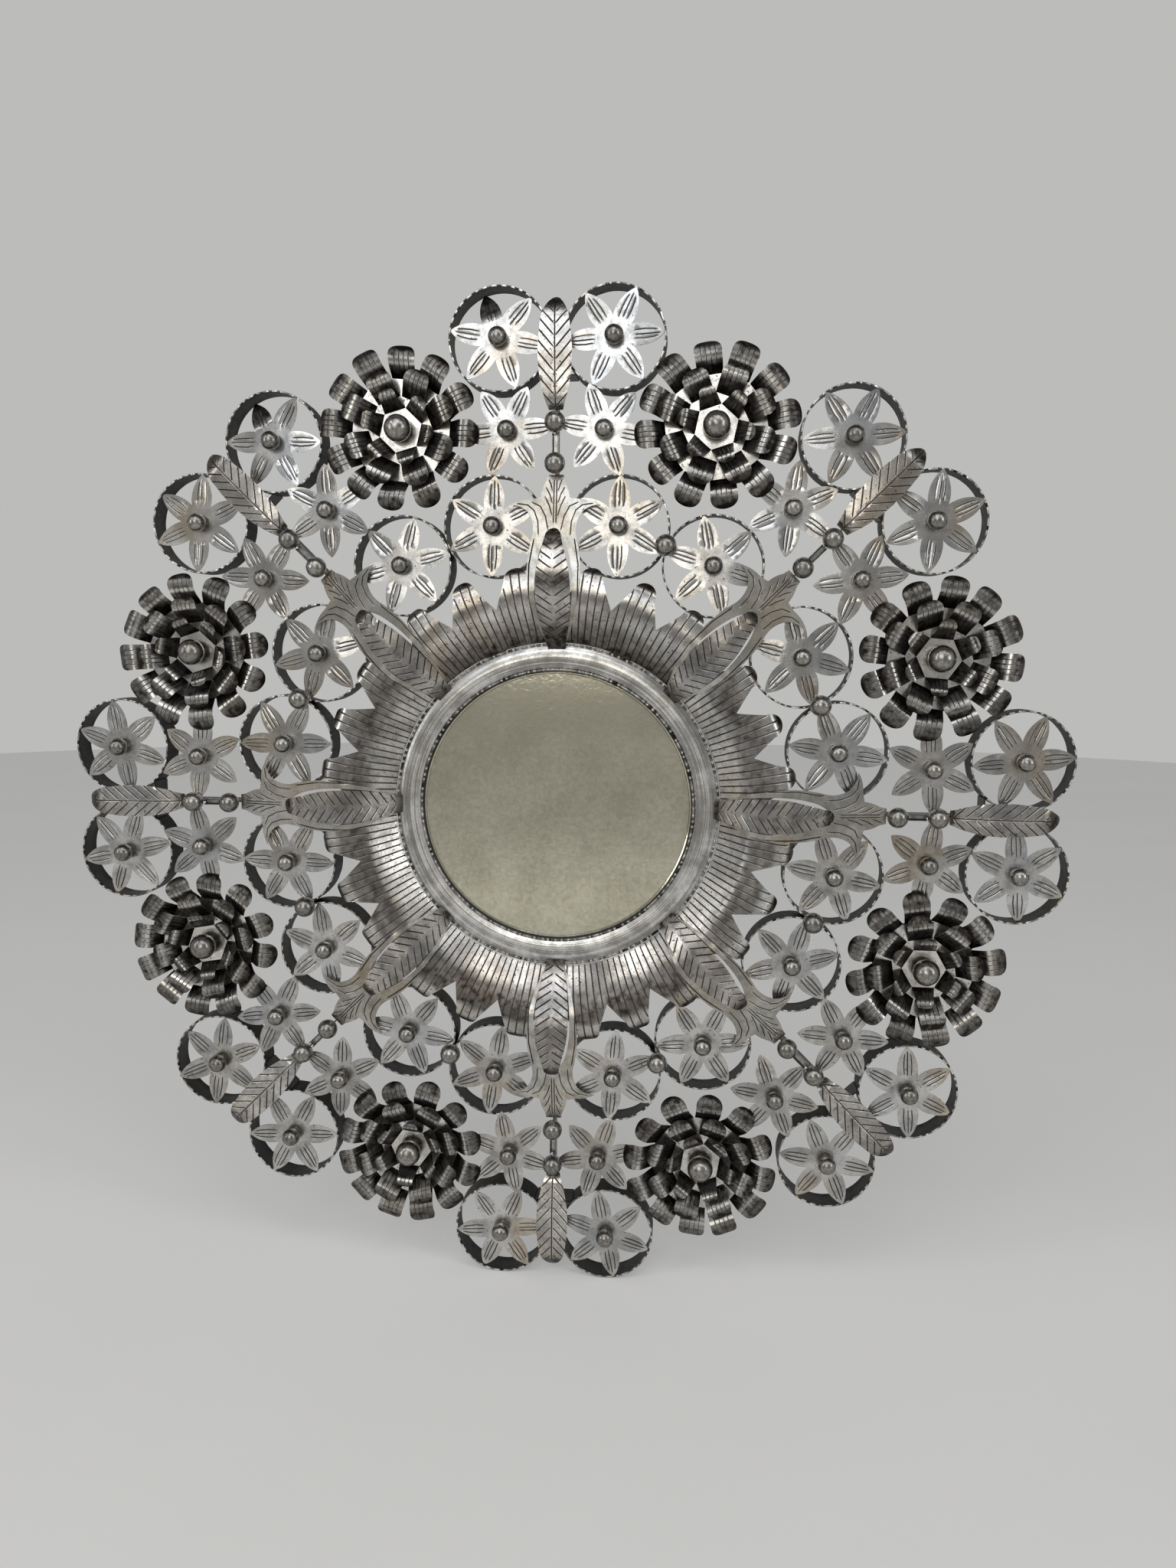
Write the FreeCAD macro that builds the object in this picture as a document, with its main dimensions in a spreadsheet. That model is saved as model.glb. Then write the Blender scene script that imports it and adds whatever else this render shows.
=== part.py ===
# Round wall mirror of soldered tin: a banded glass, a ribbed collar, and eight repeats of leaves,
# palmettes, hoops with flowers, balls and curled rosettes.
# Frame: the mirror hangs upright, its front faces -Y, +Z is up and the wall touches it at y = 0.
import FreeCAD, Part
import os
import re
import Sketcher
from FreeCAD import Placement, Rotation, Vector

doc = FreeCAD.newDocument("tin_mirror")
sheet = doc.addObject("Spreadsheet::Sheet", "Sizes")

# Driving sizes in millimetres, and counts
SIZES = [
    ("axis_count", 8, "repeats round the glass"),
    ("tin", 0.7, "tin sheet"),
    ("solder_gap", 0.3, "room that the solder fills between two pieces"),
    ("overrun", 5, "how far a cut runs past the piece"),
    ("strip_depth", 25, "depth of the strips on edge"),
    ("strip_thickness", 1, "strips on edge"),
    ("glass_radius", 132, ""),
    ("glass_thickness", 3, ""),
    ("board_thickness", 7, "board behind the glass"),
    ("pan_depth", 14, "back pan, up to the ring"),
    ("wire_radius", 1.3, "section of the two edge wires"),
    ("glass_margin", 5.8, "from the glass to the ring's inner edge"),
    ("ring_width", 21.4, "smooth ring round the glass, out to the pan's wall"),
    ("collar_width", 73.6, "collar from its root to the tips of its lobes"),
    ("collar_notch", 36, "notch between two lobes"),
    ("collar_rise", 28, "crest of the collar above its root"),
    ("lobe_count", 3, "lobes on one collar segment"),
    ("lobe_pitch", 13.2, "degrees between two lobes"),
    ("lobe_half_width", 11.5, ""),
    ("lobe_shoulder", 12, "start of the lobe's round end, below its tip"),
    ("inner_leaf_tab", 3.2, "how far the leaf's root lies over the ring"),
    ("inner_leaf_length", 114, ""),
    ("inner_leaf_half_width", 16.6, ""),
    ("inner_leaf_lift", 8, "crest of the leaf above the collar's"),
    ("outer_leaf_gap", 2.1, "from the outer axis ball to the leaf"),
    ("outer_leaf_length", 102, ""),
    ("outer_leaf_half_width", 16, ""),
    ("outer_leaf_rise", 14, "crest of the leaf above its root"),
    ("palmette_reach", 84, "palmette's tip beyond the collar"),
    ("palmette_half_width", 42, "half the width over the two side curls"),
    ("palmette_lift", 1.5, "arms above the collar, face to face"),
    ("hoop_radius", 48.5, "outside of every hoop"),
    ("hoop_lap", 5.5, "how far the collar reaches over the inner hoops"),
    ("flower_lap", 8.3, "how far a flower between the hoops reaches over them"),
    ("outer_hoop_gap", 11.7, "between the two outer hoops of an axis"),
    ("cross_strut_drop", 37, "cross strut inside the centres of the outer hoops"),
    ("petal_count", 6, ""),
    ("petal_half_width", 9.9, ""),
    ("flower_notch_radius", 19, "notch between two petals"),
    ("petal_tip", 0.4, "half the width of a petal's blunt tip"),
    ("middle_flower_reach", 44.3, ""),
    ("flower_ball_radius", 8.9, ""),
    ("ball_seat_angle", 60, "degrees from the ball's middle to its flat"),
    ("axis_ball_radius", 9.9, ""),
    ("axis_ball_lap", 0.4, "how far the inner ball of an axis stands over the palmette"),
    ("axis_ball_pitch", 37.5, "between the two balls of an axis"),
    ("ball_stem_radius", 1.3, "solder stem under an axis ball"),
    ("ball_stem_height", 0.8, ""),
    ("link_width", 6.5, "folded link between two axis balls"),
    ("link_height", 5, ""),
    ("knot_ball_radius", 10.2, ""),
    ("rosette_shift", 29.1, "rosettes' centres beyond the middle flowers'"),
    ("outer_curl_count", 12, "petals of the rosette's largest ring"),
    ("outer_curl_fold", 48, "rosette's centre to the foot of a petal"),
    ("outer_curl_reach", 79, ""),
    ("outer_curl_rise", 13, "crest of a petal above its foot"),
    ("middle_curl_count", 8, ""),
    ("middle_curl_fold", 30, ""),
    ("middle_curl_reach", 57.3, ""),
    ("inner_curl_count", 6, ""),
    ("inner_curl_fold", 19, ""),
    ("inner_curl_reach", 37, ""),
    ("curl_step", 3.2, "extra rise of the middle and inner petals"),
    ("rosette_ball_radius", 12.8, ""),
    ("lug_thickness", 1.2, ""),
    ("lug_width", 22, ""),
    ("lug_foot", 11, "foot of the lug along the pan's wall"),
    ("lug_reach", 27, "lug beyond the pan"),
    ("lug_hole_radius", 3, ""),
    ("lug_hole_edge", 9, "hole's centre from the lug's outer end"),
]
for row, (alias, value, note) in enumerate(SIZES, start=1):
    sheet.set("A%d" % row, note)
    sheet.set("B%d" % row, str(value))
    sheet.setAlias("B%d" % row, alias)
doc.recompute()

# Distances from the mirror's axis that follow from the driving sizes; expressions use them by name
FOLLOWING = {
    "ring_inner_radius": "glass_radius + glass_margin",
    "pan_radius": "ring_inner_radius + ring_width",
    "collar_root_radius": "pan_radius + 2 * wire_radius + 2 * solder_gap",
    "collar_tip_radius": "collar_root_radius + collar_width",
    "collar_valley_radius": "collar_tip_radius - collar_notch",
    "inner_leaf_root_radius": "pan_radius - inner_leaf_tab",
    "palmette_tip_radius": "collar_tip_radius + palmette_reach",
    "axis_ball_inner_radius": "palmette_tip_radius + axis_ball_radius - axis_ball_lap",
    "axis_ball_outer_radius": "axis_ball_inner_radius + axis_ball_pitch",
    "outer_leaf_root_radius": "axis_ball_outer_radius + axis_ball_radius + outer_leaf_gap",
    "inner_row_radius": "collar_tip_radius + hoop_radius - hoop_lap",
    "middle_row_radius": "inner_row_radius + hoop_radius + middle_flower_reach - flower_lap",
    "outer_row_radius": "middle_row_radius + hoop_radius + middle_flower_reach - flower_lap",
    "cross_strut_radius": "outer_row_radius - cross_strut_drop",
    "rosette_row_radius": "middle_row_radius + rosette_shift",
}

# Places worked out from these, as expressions that the pieces share
AXIS_TURN = "(360 deg / axis_count)"
HALF_TURN = "(180 deg / axis_count)"
HOOP_INSIDE = "(hoop_radius - strip_thickness)"
FLOWER_REACH = "(hoop_radius - strip_thickness - solder_gap)"
FLOWER_FRONT = "(strip_depth - solder_gap)"
MIDDLE_FRONT = "(strip_depth + tin)"
INNER_OFFSET = "(hoop_radius + solder_gap / 2)"
INNER_TURN = "(" + HALF_TURN + " - asin(" + INNER_OFFSET + " / inner_row_radius))"
MIDDLE_TURN = "asin((middle_flower_reach + ball_stem_radius + solder_gap) / middle_row_radius)"
OUTER_OFFSET = "(hoop_radius + outer_hoop_gap / 2)"
OUTER_TURN = "asin(" + OUTER_OFFSET + " / outer_row_radius)"
KNOT_RADIUS = "(sqrt(inner_row_radius ^ 2 - " + INNER_OFFSET + " ^ 2))"
WIRE_OUT_RADIUS = "(pan_radius + wire_radius + solder_gap)"
COLLAR_ROOT = "collar_root_radius"
COLLAR_SPAN = "collar_width"
COLLAR_BASE = "(pan_depth + tin)"
ARM_BASE = "(" + COLLAR_BASE + " + palmette_lift)"
LEAF_SEAT = "(pan_depth + 2 * tin + solder_gap)"
GLASS_BACK = "(tin + board_thickness)"
STRUT_SEAT = "(strip_depth + solder_gap + tin)"
BALL_SEAT_SHARE = "sin(ball_seat_angle)"
CURL_TIP_SHARE = 0.368
ROSETTE_BACK = "(" + MIDDLE_FRONT + " + solder_gap - outer_curl_rise * %s)" % CURL_TIP_SHARE

# Front lines of the collar and of the arms over it: shares of the collar's span and of its rise
COLLAR_LINE_SHARES = [(0, 0), (0.375, 0.77), (0.62, 1.0, "arc"), (0.837, 0.97), (0.952, 0.81, "arc"),
                      (1.0, 0.53)]
ARM_LINE_SHARES = [(0.016, 0.033), (0.375, 0.77), (0.62, 1.02, "arc"), (0.86, 0.97)]

# Flowers' own turns in degrees, set by hand as the maker soldered them, clockwise from the top
INNER_TURNS = [2, 2, 48, 45, 38, 42, 16, 26, 4, 9, 40, 50, 32, 30, 15, 15]
MIDDLE_TURNS = [25, 40, 7, 23, 56, 8, 33, 40, 18, 49, 4, 24, 49, 6, 33, 57]
OUTER_TURNS = [40, 25, 26, 6, 24, 55, 57, 38, 49, 24, 28, 8, 18, 50, 6, 30]

# Rosettes' own turns, a list for each ring of petals
OUTER_CURL_TURNS = [22, 7, 20, 7, 18, 8, 24, 5]
MIDDLE_CURL_TURNS = [19, 26, 36, 18, 29, 32, 39, 24]
INNER_CURL_TURNS = [42, 5, 0, 39, 6, 50, 42, 44]
LOST_KNOT = 7
NEARLY_ZERO = 1e-9


def bound(text):
    """Write an expression in the sheet's aliases alone, with the sheet's name before each."""
    aliases = {alias for alias, value, note in SIZES}

    def spelled(found):
        name = found.group()
        if name in FOLLOWING:
            return "(" + bound(FOLLOWING[name]) + ")"
        return "Sizes." + name if name in aliases else name

    return re.sub(r"[a-z_]+", spelled, text)


def size(text):
    """Value of an expression now."""
    return float(FreeCAD.Units.Quantity(sheet.evalExpression(bound(text))).Value)


def bind(thing, **values):
    """Bind properties of an object to expressions."""
    for name, text in values.items():
        thing.setExpression(name, bound(text))
    return thing


def origin_part(body, role):
    return next(part for part in body.Origin.OriginFeatures if part.Role == role)


def new_sketch(body, name, role):
    sketch = body.newObject("Sketcher::SketchObject", name)
    sketch.AttachmentSupport = (origin_part(body, role), [""])
    sketch.MapMode = "FlatFace"
    return sketch


def hold(sketch, index, point, across, up):
    """Hold a point of the sketch where two expressions say."""
    for kind, axis, text in (("DistanceX", -2, across), ("DistanceY", -1, up)):
        if abs(size(text)) < NEARLY_ZERO:
            sketch.addConstraint(Sketcher.Constraint("PointOnObject", index, point, axis))
        else:
            rule = Sketcher.Constraint(kind, -1, 1, index, point, size(text))
            sketch.setExpression("Constraints[%d]" % sketch.addConstraint(rule), bound(text))


def draw(sketch, path):
    """Draw a closed outline through (across, up) points; a third entry marks the middle of an arc."""
    corners = [i for i, point in enumerate(path) if len(point) == 2]
    spots = [Vector(size(point[0]), size(point[1]), 0) for point in path]
    ends = []
    for first, second in zip(corners, corners[1:] + corners[:1]):
        if (second - first) % len(path) == 2:
            middle = (first + 1) % len(path)
            arc = sketch.addGeometry(Part.Arc(spots[first], spots[middle], spots[second]))
            mark = sketch.addGeometry(Part.Point(spots[middle]), True)
            hold(sketch, mark, 1, path[middle][0], path[middle][1])
            sketch.addConstraint(Sketcher.Constraint("PointOnObject", mark, 1, arc))
            near, far = (sketch.getPoint(arc, end).distanceToPoint(spots[first]) for end in (1, 2))
            ends.append((arc, 1, 2) if near < far else (arc, 2, 1))
        else:
            ends.append((sketch.addGeometry(Part.LineSegment(spots[first], spots[second])), 1, 2))
    for corner, (index, start, end), (last, last_start, last_end) in zip(corners, ends, ends[-1:] + ends):
        sketch.addConstraint(Sketcher.Constraint("Coincident", last, last_end, index, start))
        hold(sketch, index, start, path[corner][0], path[corner][1])


def draw_circle(sketch, radius):
    index = sketch.addGeometry(Part.Circle(Vector(), Vector(0, 0, 1), size(radius)))
    sketch.addConstraint(Sketcher.Constraint("Coincident", index, 3, -1, 1))
    rule = sketch.addConstraint(Sketcher.Constraint("Radius", index, size(radius)))
    sketch.setExpression("Constraints[%d]" % rule, bound(radius))


def new_body(name):
    body = doc.addObject("PartDesign::Body", name)
    body.Label = name
    return body


def pad(body, sketch, length, both_ways=False):
    feature = body.newObject("PartDesign::Pad", sketch.Name + "Pad")
    feature.Profile = sketch
    feature.SideType = "Symmetric" if both_ways else "One side"
    return bind(feature, Length=length)


def cut_through(body, sketch):
    feature = body.newObject("PartDesign::Pocket", sketch.Name + "Cut")
    feature.Profile = sketch
    feature.Type = "ThroughAll"
    feature.SideType = "Symmetric"
    return feature


def turn_profile(body, sketch, angle="360"):
    """Turn a profile of the YZ plane round the mirror's axis."""
    feature = body.newObject("PartDesign::Revolution", sketch.Name + "Turn")
    feature.Profile = sketch
    feature.ReferenceAxis = (sketch, ["H_Axis"])
    feature.Midplane = True
    return bind(feature, Angle=angle)


def repeat(body, features, count, angle="360"):
    """Repeat features round the body's own Y axis."""
    pattern = body.newObject("PartDesign::PolarPattern", features[-1].Name + "Repeat")
    pattern.Originals = features
    pattern.Axis = (origin_part(body, "Y_Axis"), [""])
    bind(pattern, Occurrences=count, Angle=angle)
    body.Tip = pattern
    return pattern


def other_side(points):
    return [("-(" + point[0] + ")",) + tuple(point[1:]) for point in reversed(points)]


def mirrored(side):
    """Close a half outline, given from its root to its tip, with its mirror image."""
    return side + other_side([point for point in side if point[0] != "0"])


def front_line(root, span, base, rise, shares):
    """Front line of a bent sheet, from shares of its span outwards and of its rise towards the viewer."""
    return [("%s + %s * %s" % (root, span, out), "%s + %s * %s" % (base, rise, up)) + tuple(mark)
            for out, up, *mark in shares]


def bent_strip(body, front, width):
    """Pad a bent sheet from its front line: (radius, height in front of the wall) points."""
    sketch = new_sketch(body, body.Name + "Profile", "YZ_Plane")
    draw(sketch, sheet_profile(front))
    return pad(body, sketch, width, both_ways=True)


def sheet_profile(front):
    """Closed section of a sheet whose front line is given; its back line lies one sheet behind."""
    face = [("-(" + height + ")", radius) + tuple(mark) for radius, height, *mark in front]
    back = [("tin - (" + height + ")", radius) + tuple(mark) for radius, height, *mark in reversed(front)]
    return face + back


def trim_to(body, side, low, high, half_width):
    """Cut away all of a bent sheet outside a symmetric outline."""
    sketch = new_sketch(body, body.Name + "Outline", "XZ_Plane")
    draw(sketch, mirrored(side))
    edge = half_width + " + overrun"
    draw(sketch, mirrored([(edge, low + " - overrun"), (edge, high + " + overrun")]))
    return cut_through(body, sketch)


def along(root, length, half_width, shares):
    """Outline points from shares of the half width and of the length, from the root outwards."""
    side = []
    for wide_share, long_share, *mark in shares:
        across = "0" if wide_share == 0 else "%s * %s" % (half_width, wide_share)
        side.append((across, "%s + %s * %s" % (root, length, long_share)) + tuple(mark))
    return side


def notch_between(body, half_pitch, valley, side, reach):
    """Cut the gap between two lobes; side is a lobe's half outline, (half width, along), to its tip."""
    sketch = new_sketch(body, body.Name + "Notch", "XZ_Plane")
    flank = [("0", valley)]
    beyond_share = 1.4
    for wide, far, *mark in side + [("0", "%s * %s" % (reach, beyond_share))]:
        across = "(%s) * sin(%s) - (%s) * cos(%s)" % (far, half_pitch, wide, half_pitch)
        up = "(%s) * cos(%s) + (%s) * sin(%s)" % (far, half_pitch, wide, half_pitch)
        flank.append((across, up) + tuple(mark))
    draw(sketch, mirrored(flank))
    return cut_through(body, sketch)


def put(thing, radius="0", turn="0", front="0", spin=0, lay=Rotation()):
    """Place a piece at a polar place round the mirror's axis, turned by spin degrees about that axis."""
    thing.Placement = Placement(Vector(), Rotation(Vector(0, 1, 0), spin).multiply(lay))
    across, up = "(%s) * sin(%s)" % (radius, turn), "(%s) * cos(%s)" % (radius, turn)
    for axis, text in (("x", across), ("y", "-(%s)" % front), ("z", up)):
        thing.setExpression("Placement.Base." + axis, bound(text))
    return thing


def copy_of(master, name):
    link = doc.addObject("App::Link", name)
    link.LinkedObject = master
    return link


def group(name, pieces):
    """Gather separate solids of one kind in a node."""
    node = doc.addObject("Part::Compound", name)
    node.Label = name
    node.Links = pieces
    return [node]


def round_axes(master, name):
    """One node for each of the eight repeats of a piece that is made on the top axis."""
    nodes = []
    for index in range(int(size("axis_count"))):
        node = copy_of(master, "%s_%d" % (name, index + 1))
        node.Label = "%s_%d" % (name, index + 1)
        nodes.append(put(node, spin=size(AXIS_TURN) * index))
    return nodes


def between_axes(index):
    return "%s * (%d + 0.5)" % (AXIS_TURN, index)


def row_places(turn):
    """Polar angles of a row that has a piece on each side of every axis, left one first."""
    places = []
    for index in range(int(size("axis_count"))):
        places += ["%s * %d - %s" % (AXIS_TURN, index, turn), "%s * %d + %s" % (AXIS_TURN, index, turn)]
    return places


def make_disc(name, radius, back, thickness):
    """Round plate square to the mirror's axis."""
    body = new_body(name)
    sketch = new_sketch(body, name + "Circle", "XZ_Plane")
    draw_circle(sketch, radius)
    pad(body, sketch, thickness)
    return [put(body, front=back)]


def make_ring():
    """Smooth flat ring round the glass."""
    body = new_body("bezel_band")
    sketch = new_sketch(body, "RingCircles", "XZ_Plane")
    draw_circle(sketch, "pan_radius")
    draw_circle(sketch, "ring_inner_radius")
    pad(body, sketch, "tin")
    return [put(body, front="pan_depth")]


def make_pan():
    """Shallow pan: a floor at the wall and a side up to the ring."""
    body = new_body("back_pan")
    sketch = new_sketch(body, "PanSection", "YZ_Plane")
    inside = "pan_radius - tin"
    draw(sketch, [("0", "0"), ("0", "pan_radius"), ("-pan_depth", "pan_radius"),
                  ("-pan_depth", inside), ("-tin", inside), ("-tin", "0")])
    turn_profile(body, sketch)
    return [body]


def make_wire(name, radius, front):
    """Round wire along an edge of the ring."""
    wire = doc.addObject("Part::Torus", name)
    wire.Label = name
    bind(wire, Radius1=radius, Radius2="wire_radius")
    return [put(wire, front=front, lay=Rotation(Vector(1, 0, 0), 90))]


def make_collar():
    """Ribbed segment that rises from the ring, crests and curls back, with three round lobes."""
    body = new_body("collar_master")
    sketch = new_sketch(body, "CollarSection", "YZ_Plane")
    front = front_line(COLLAR_ROOT, COLLAR_SPAN, COLLAR_BASE, "collar_rise", COLLAR_LINE_SHARES)
    draw(sketch, sheet_profile(front))
    gap_angle = "asin(solder_gap / collar_tip_radius)"
    turn_profile(body, sketch, AXIS_TURN + " - 2 * " + gap_angle)
    shoulder = "collar_tip_radius - lobe_shoulder"
    corner_share, foot_share = 0.7, 1.45
    corner = "%s * " + str(corner_share)
    side = [("lobe_half_width * %s" % foot_share, shoulder + " - lobe_shoulder", "arc"),
            ("lobe_half_width", shoulder),
            (corner % "lobe_half_width", shoulder + " + " + corner % "lobe_shoulder", "arc"),
            ("0", "collar_tip_radius")]
    cut = notch_between(body, "lobe_pitch / 2", "collar_valley_radius", side, "collar_tip_radius")
    first = "lobe_pitch * lobe_count / 2"
    cut.Profile[0].AttachmentOffset = Placement(Vector(), Rotation(Vector(0, 0, 1), size(first)))
    repeat(body, [cut], "lobe_count + 1", "lobe_pitch * lobe_count")
    nodes = []
    for index in range(int(size("axis_count"))):
        node = copy_of(body, "collar_segment_%d" % (index + 1))
        node.Label = node.Name
        nodes.append(put(node, spin=size(AXIS_TURN) * index + size(HALF_TURN)))
    return nodes


def palmette_front(radius):
    """Front of the palmette's straight run at a radius."""
    out, up = ARM_LINE_SHARES[-1]
    bend = "(%s + %s * %s)" % (COLLAR_ROOT, COLLAR_SPAN, out)
    height = "(%s + collar_rise * %s)" % (ARM_BASE, up)
    run = "(%s - %s) / (palmette_tip_radius - %s)" % (radius, bend, bend)
    return "(%s - (%s - %s) * %s)" % (height, height, STRUT_SEAT, run)


def make_inner_leaf():
    """Leaf that springs from a tab on the ring, arches over the collar and curls back to the palmette."""
    body = new_body("inner_leaf_master")
    root, length = "inner_leaf_root_radius", "inner_leaf_length"
    rise = "(collar_rise + inner_leaf_lift)"
    line_shares = [(0, 0), (0.3, 0.69), (0.56, 1.0, "arc"), (0.81, 0.96), (0.94, 0.85, "arc")]
    tip = "(%s + %s)" % (root, length)
    front = front_line(root, length, LEAF_SEAT, rise, line_shares)
    front.append((tip, palmette_front(tip) + " + tin + solder_gap"))
    bent_strip(body, front, "2 * inner_leaf_half_width")
    outline_shares = [(0.5, 0), (0.68, 0.116), (0.94, 0.31, "arc"), (1.0, 0.45), (0.97, 0.6, "arc"),
                      (0.85, 0.7), (0.66, 0.81, "arc"), (0.46, 0.925), (0.28, 0.98, "arc"), (0, 1.0)]
    side = along(root, length, "inner_leaf_half_width", outline_shares)
    trim_to(body, side, root, tip, "inner_leaf_half_width")
    return round_axes(body, "inner_leaf")


def make_outer_leaf():
    """Leaf between the outer hoops, seated on the strut at its root, its tip curled back."""
    body = new_body("outer_leaf_master")
    root, length = "outer_leaf_root_radius", "outer_leaf_length"
    line_shares = [(0, 0), (0.2, 0.56), (0.49, 1.0, "arc"), (0.8, 0.88), (0.93, 0.5, "arc"), (1.0, -0.16)]
    bent_strip(body, front_line(root, length, STRUT_SEAT, "outer_leaf_rise", line_shares),
               "2 * outer_leaf_half_width")
    outline_shares = [(0.36, 0), (0.8, 0.22, "arc"), (0.96, 0.42), (1.0, 0.62, "arc"), (0.96, 0.8),
                      (0.74, 0.94, "arc"), (0, 1.0)]
    side = along(root, length, "outer_leaf_half_width", outline_shares)
    trim_to(body, side, root, root + " + " + length, "outer_leaf_half_width")
    return round_axes(body, "outer_leaf")


def make_palmette():
    """Two arms round the inner leaf that follow the collar and join in a palmette with side curls."""
    body = new_body("palmette_master")
    front = front_line(COLLAR_ROOT, COLLAR_SPAN, ARM_BASE, "collar_rise", ARM_LINE_SHARES)
    root, tip = "(" + front[0][0] + ")", "palmette_tip_radius"
    bent_strip(body, front + [(tip, STRUT_SEAT)], "2 * palmette_half_width")
    # Shares of the half width and of the length: outside of an arm, side curl, lance, then the opening
    outer_shares = [(0.24, 0), (0.476, 0.172, "arc"), (0.595, 0.357), (0.6, 0.463, "arc"), (0.5, 0.629),
                    (0.512, 0.72, "arc"), (0.607, 0.773), (0.762, 0.804, "arc"), (1.0, 0.819),
                    (0.786, 0.845, "arc"), (0.571, 0.851), (0.331, 0.863), (0.293, 0.912, "arc"),
                    (0.21, 0.9615), (0.181, 1.0)]
    opening_shares = [(0, 0.68), (0.21, 0.612, "arc"), (0.321, 0.54), (0.43, 0.33, "arc"), (0.381, 0.172),
                      (0.295, 0.08, "arc"), (0.16, 0)]
    length = "(%s - %s)" % (tip, root)
    outside = along(root, length, "palmette_half_width", outer_shares)
    opening = along(root, length, "palmette_half_width", opening_shares)
    sketch = new_sketch(body, "PalmetteOutline", "XZ_Plane")
    draw(sketch, outside + other_side(outside) + other_side(opening[1:]) + opening)
    edge = "palmette_half_width + overrun"
    draw(sketch, mirrored([(edge, root + " - overrun"), (edge, tip + " + overrun")]))
    cut_through(body, sketch)
    return round_axes(body, "palmette")


def make_radial_strut():
    """Strip on edge from the pan to the outer hoops, low at its root to pass under the collar."""
    body = new_body("radial_strut_master")
    sketch = new_sketch(body, "RadialStrutSide", "YZ_Plane")
    near = "pan_radius + solder_gap"
    far = "cross_strut_radius - strip_thickness / 2"
    low_share, run_share = 0.8, 1.1
    root_front = "-pan_depth * %s" % low_share
    full = near + " + strip_depth * %s" % run_share
    front = "-strip_depth"
    draw(sketch, [("0", near), (root_front, near), (front, full), (front, far), ("0", far)])
    pad(body, sketch, "strip_thickness", both_ways=True)
    pieces = [put(copy_of(body, "RadialStrut%d" % index), spin=size(AXIS_TURN) * index)
              for index in range(int(size("axis_count")))]
    return group("radial_struts", pieces)


def make_cross_strut():
    """Strip on edge across the axis, between the two outer hoops."""
    body = new_body("cross_strut_master")
    sketch = new_sketch(body, "CrossStrutEdge", "XZ_Plane")
    row = "sqrt(outer_row_radius ^ 2 - " + OUTER_OFFSET + " ^ 2)"
    drop = "(" + row + " - cross_strut_radius - strip_thickness / 2)"
    half = OUTER_OFFSET + " - sqrt(hoop_radius ^ 2 - " + drop + " ^ 2) - solder_gap / 2"
    low, high = "cross_strut_radius - strip_thickness / 2", "cross_strut_radius + strip_thickness / 2"
    draw(sketch, mirrored([(half, low), (half, high)]))
    pad(body, sketch, "strip_depth")
    pieces = [put(copy_of(body, "CrossStrut%d" % index), spin=size(AXIS_TURN) * index)
              for index in range(int(size("axis_count")))]
    return group("cross_struts", pieces)


def make_hoops():
    """Hoops of strip on edge, two to each axis in each of the two rows."""
    body = new_body("hoop_master")
    sketch = new_sketch(body, "HoopCircles", "XZ_Plane")
    draw_circle(sketch, "hoop_radius")
    draw_circle(sketch, HOOP_INSIDE)
    pad(body, sketch, "strip_depth")
    nodes = []
    for name, radius, turn in (("inner_hoops", "inner_row_radius", INNER_TURN),
                               ("outer_hoops", "outer_row_radius", OUTER_TURN)):
        pieces = [put(copy_of(body, "%s%d" % (name, index)), radius, place)
                  for index, place in enumerate(row_places(turn))]
        nodes += group(name, pieces)
    return nodes


def make_flower(name, reach):
    """Flat flower with pointed petals, cut from a disc."""
    body = new_body(name)
    sketch = new_sketch(body, name + "Disc", "XZ_Plane")
    draw_circle(sketch, reach)
    pad(body, sketch, "tin")
    # Shares of the reach: the petal is widest a little past its middle
    wide_share = 0.58
    side = [("petal_half_width", "%s * %s" % (reach, wide_share), "arc"), ("petal_tip", reach)]
    cut = notch_between(body, "(180 / petal_count)", "flower_notch_radius", side, reach)
    repeat(body, [cut], "petal_count")
    return body


def make_flowers():
    """Three rows of flowers: in the inner hoops, between the hoops, and in the outer hoops."""
    small = make_flower("middle_flower_master", "middle_flower_reach")
    large = make_flower("hoop_flower_master", FLOWER_REACH)
    in_hoop = "(" + FLOWER_FRONT + " - tin)"
    rows = (("inner_flowers", large, "inner_row_radius", INNER_TURN, in_hoop, INNER_TURNS),
            ("middle_flowers", small, "middle_row_radius", MIDDLE_TURN, "strip_depth", MIDDLE_TURNS),
            ("outer_flowers", large, "outer_row_radius", OUTER_TURN, in_hoop, OUTER_TURNS))
    nodes = []
    half_petal = size("180 / petal_count")
    for name, master, radius, turn, back, turns in rows:
        pieces = [put(copy_of(master, "%s%d" % (name, index)), radius, place, back, own_turn - half_petal)
                  for index, (place, own_turn) in enumerate(zip(row_places(turn), turns))]
        nodes += group(name, pieces)
    return nodes


def make_ball(name, radius):
    """Ball with a small flat behind it, its flat at the piece's own y = 0."""
    ball = doc.addObject("Part::Sphere", name)
    bind(ball, Radius=radius, Angle1="-ball_seat_angle")
    return put(ball, front="%s * %s" % (radius, BALL_SEAT_SHARE), lay=Rotation(Vector(1, 0, 0), 90))


def make_flower_balls():
    ball = make_ball("flower_ball_master", "flower_ball_radius")
    rows = (("inner_row_radius", INNER_TURN, FLOWER_FRONT), ("middle_row_radius", MIDDLE_TURN, MIDDLE_FRONT),
            ("outer_row_radius", OUTER_TURN, FLOWER_FRONT))
    seat = " + flower_ball_radius * " + BALL_SEAT_SHARE
    upright = Rotation(Vector(1, 0, 0), 90)
    pieces = []
    for row, (radius, turn, front) in enumerate(rows):
        for index, place in enumerate(row_places(turn)):
            link = copy_of(ball, "FlowerBall%d_%d" % (row, index))
            pieces.append(put(link, radius, place, front + seat, lay=upright))
    return group("flower_balls", pieces)


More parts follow.
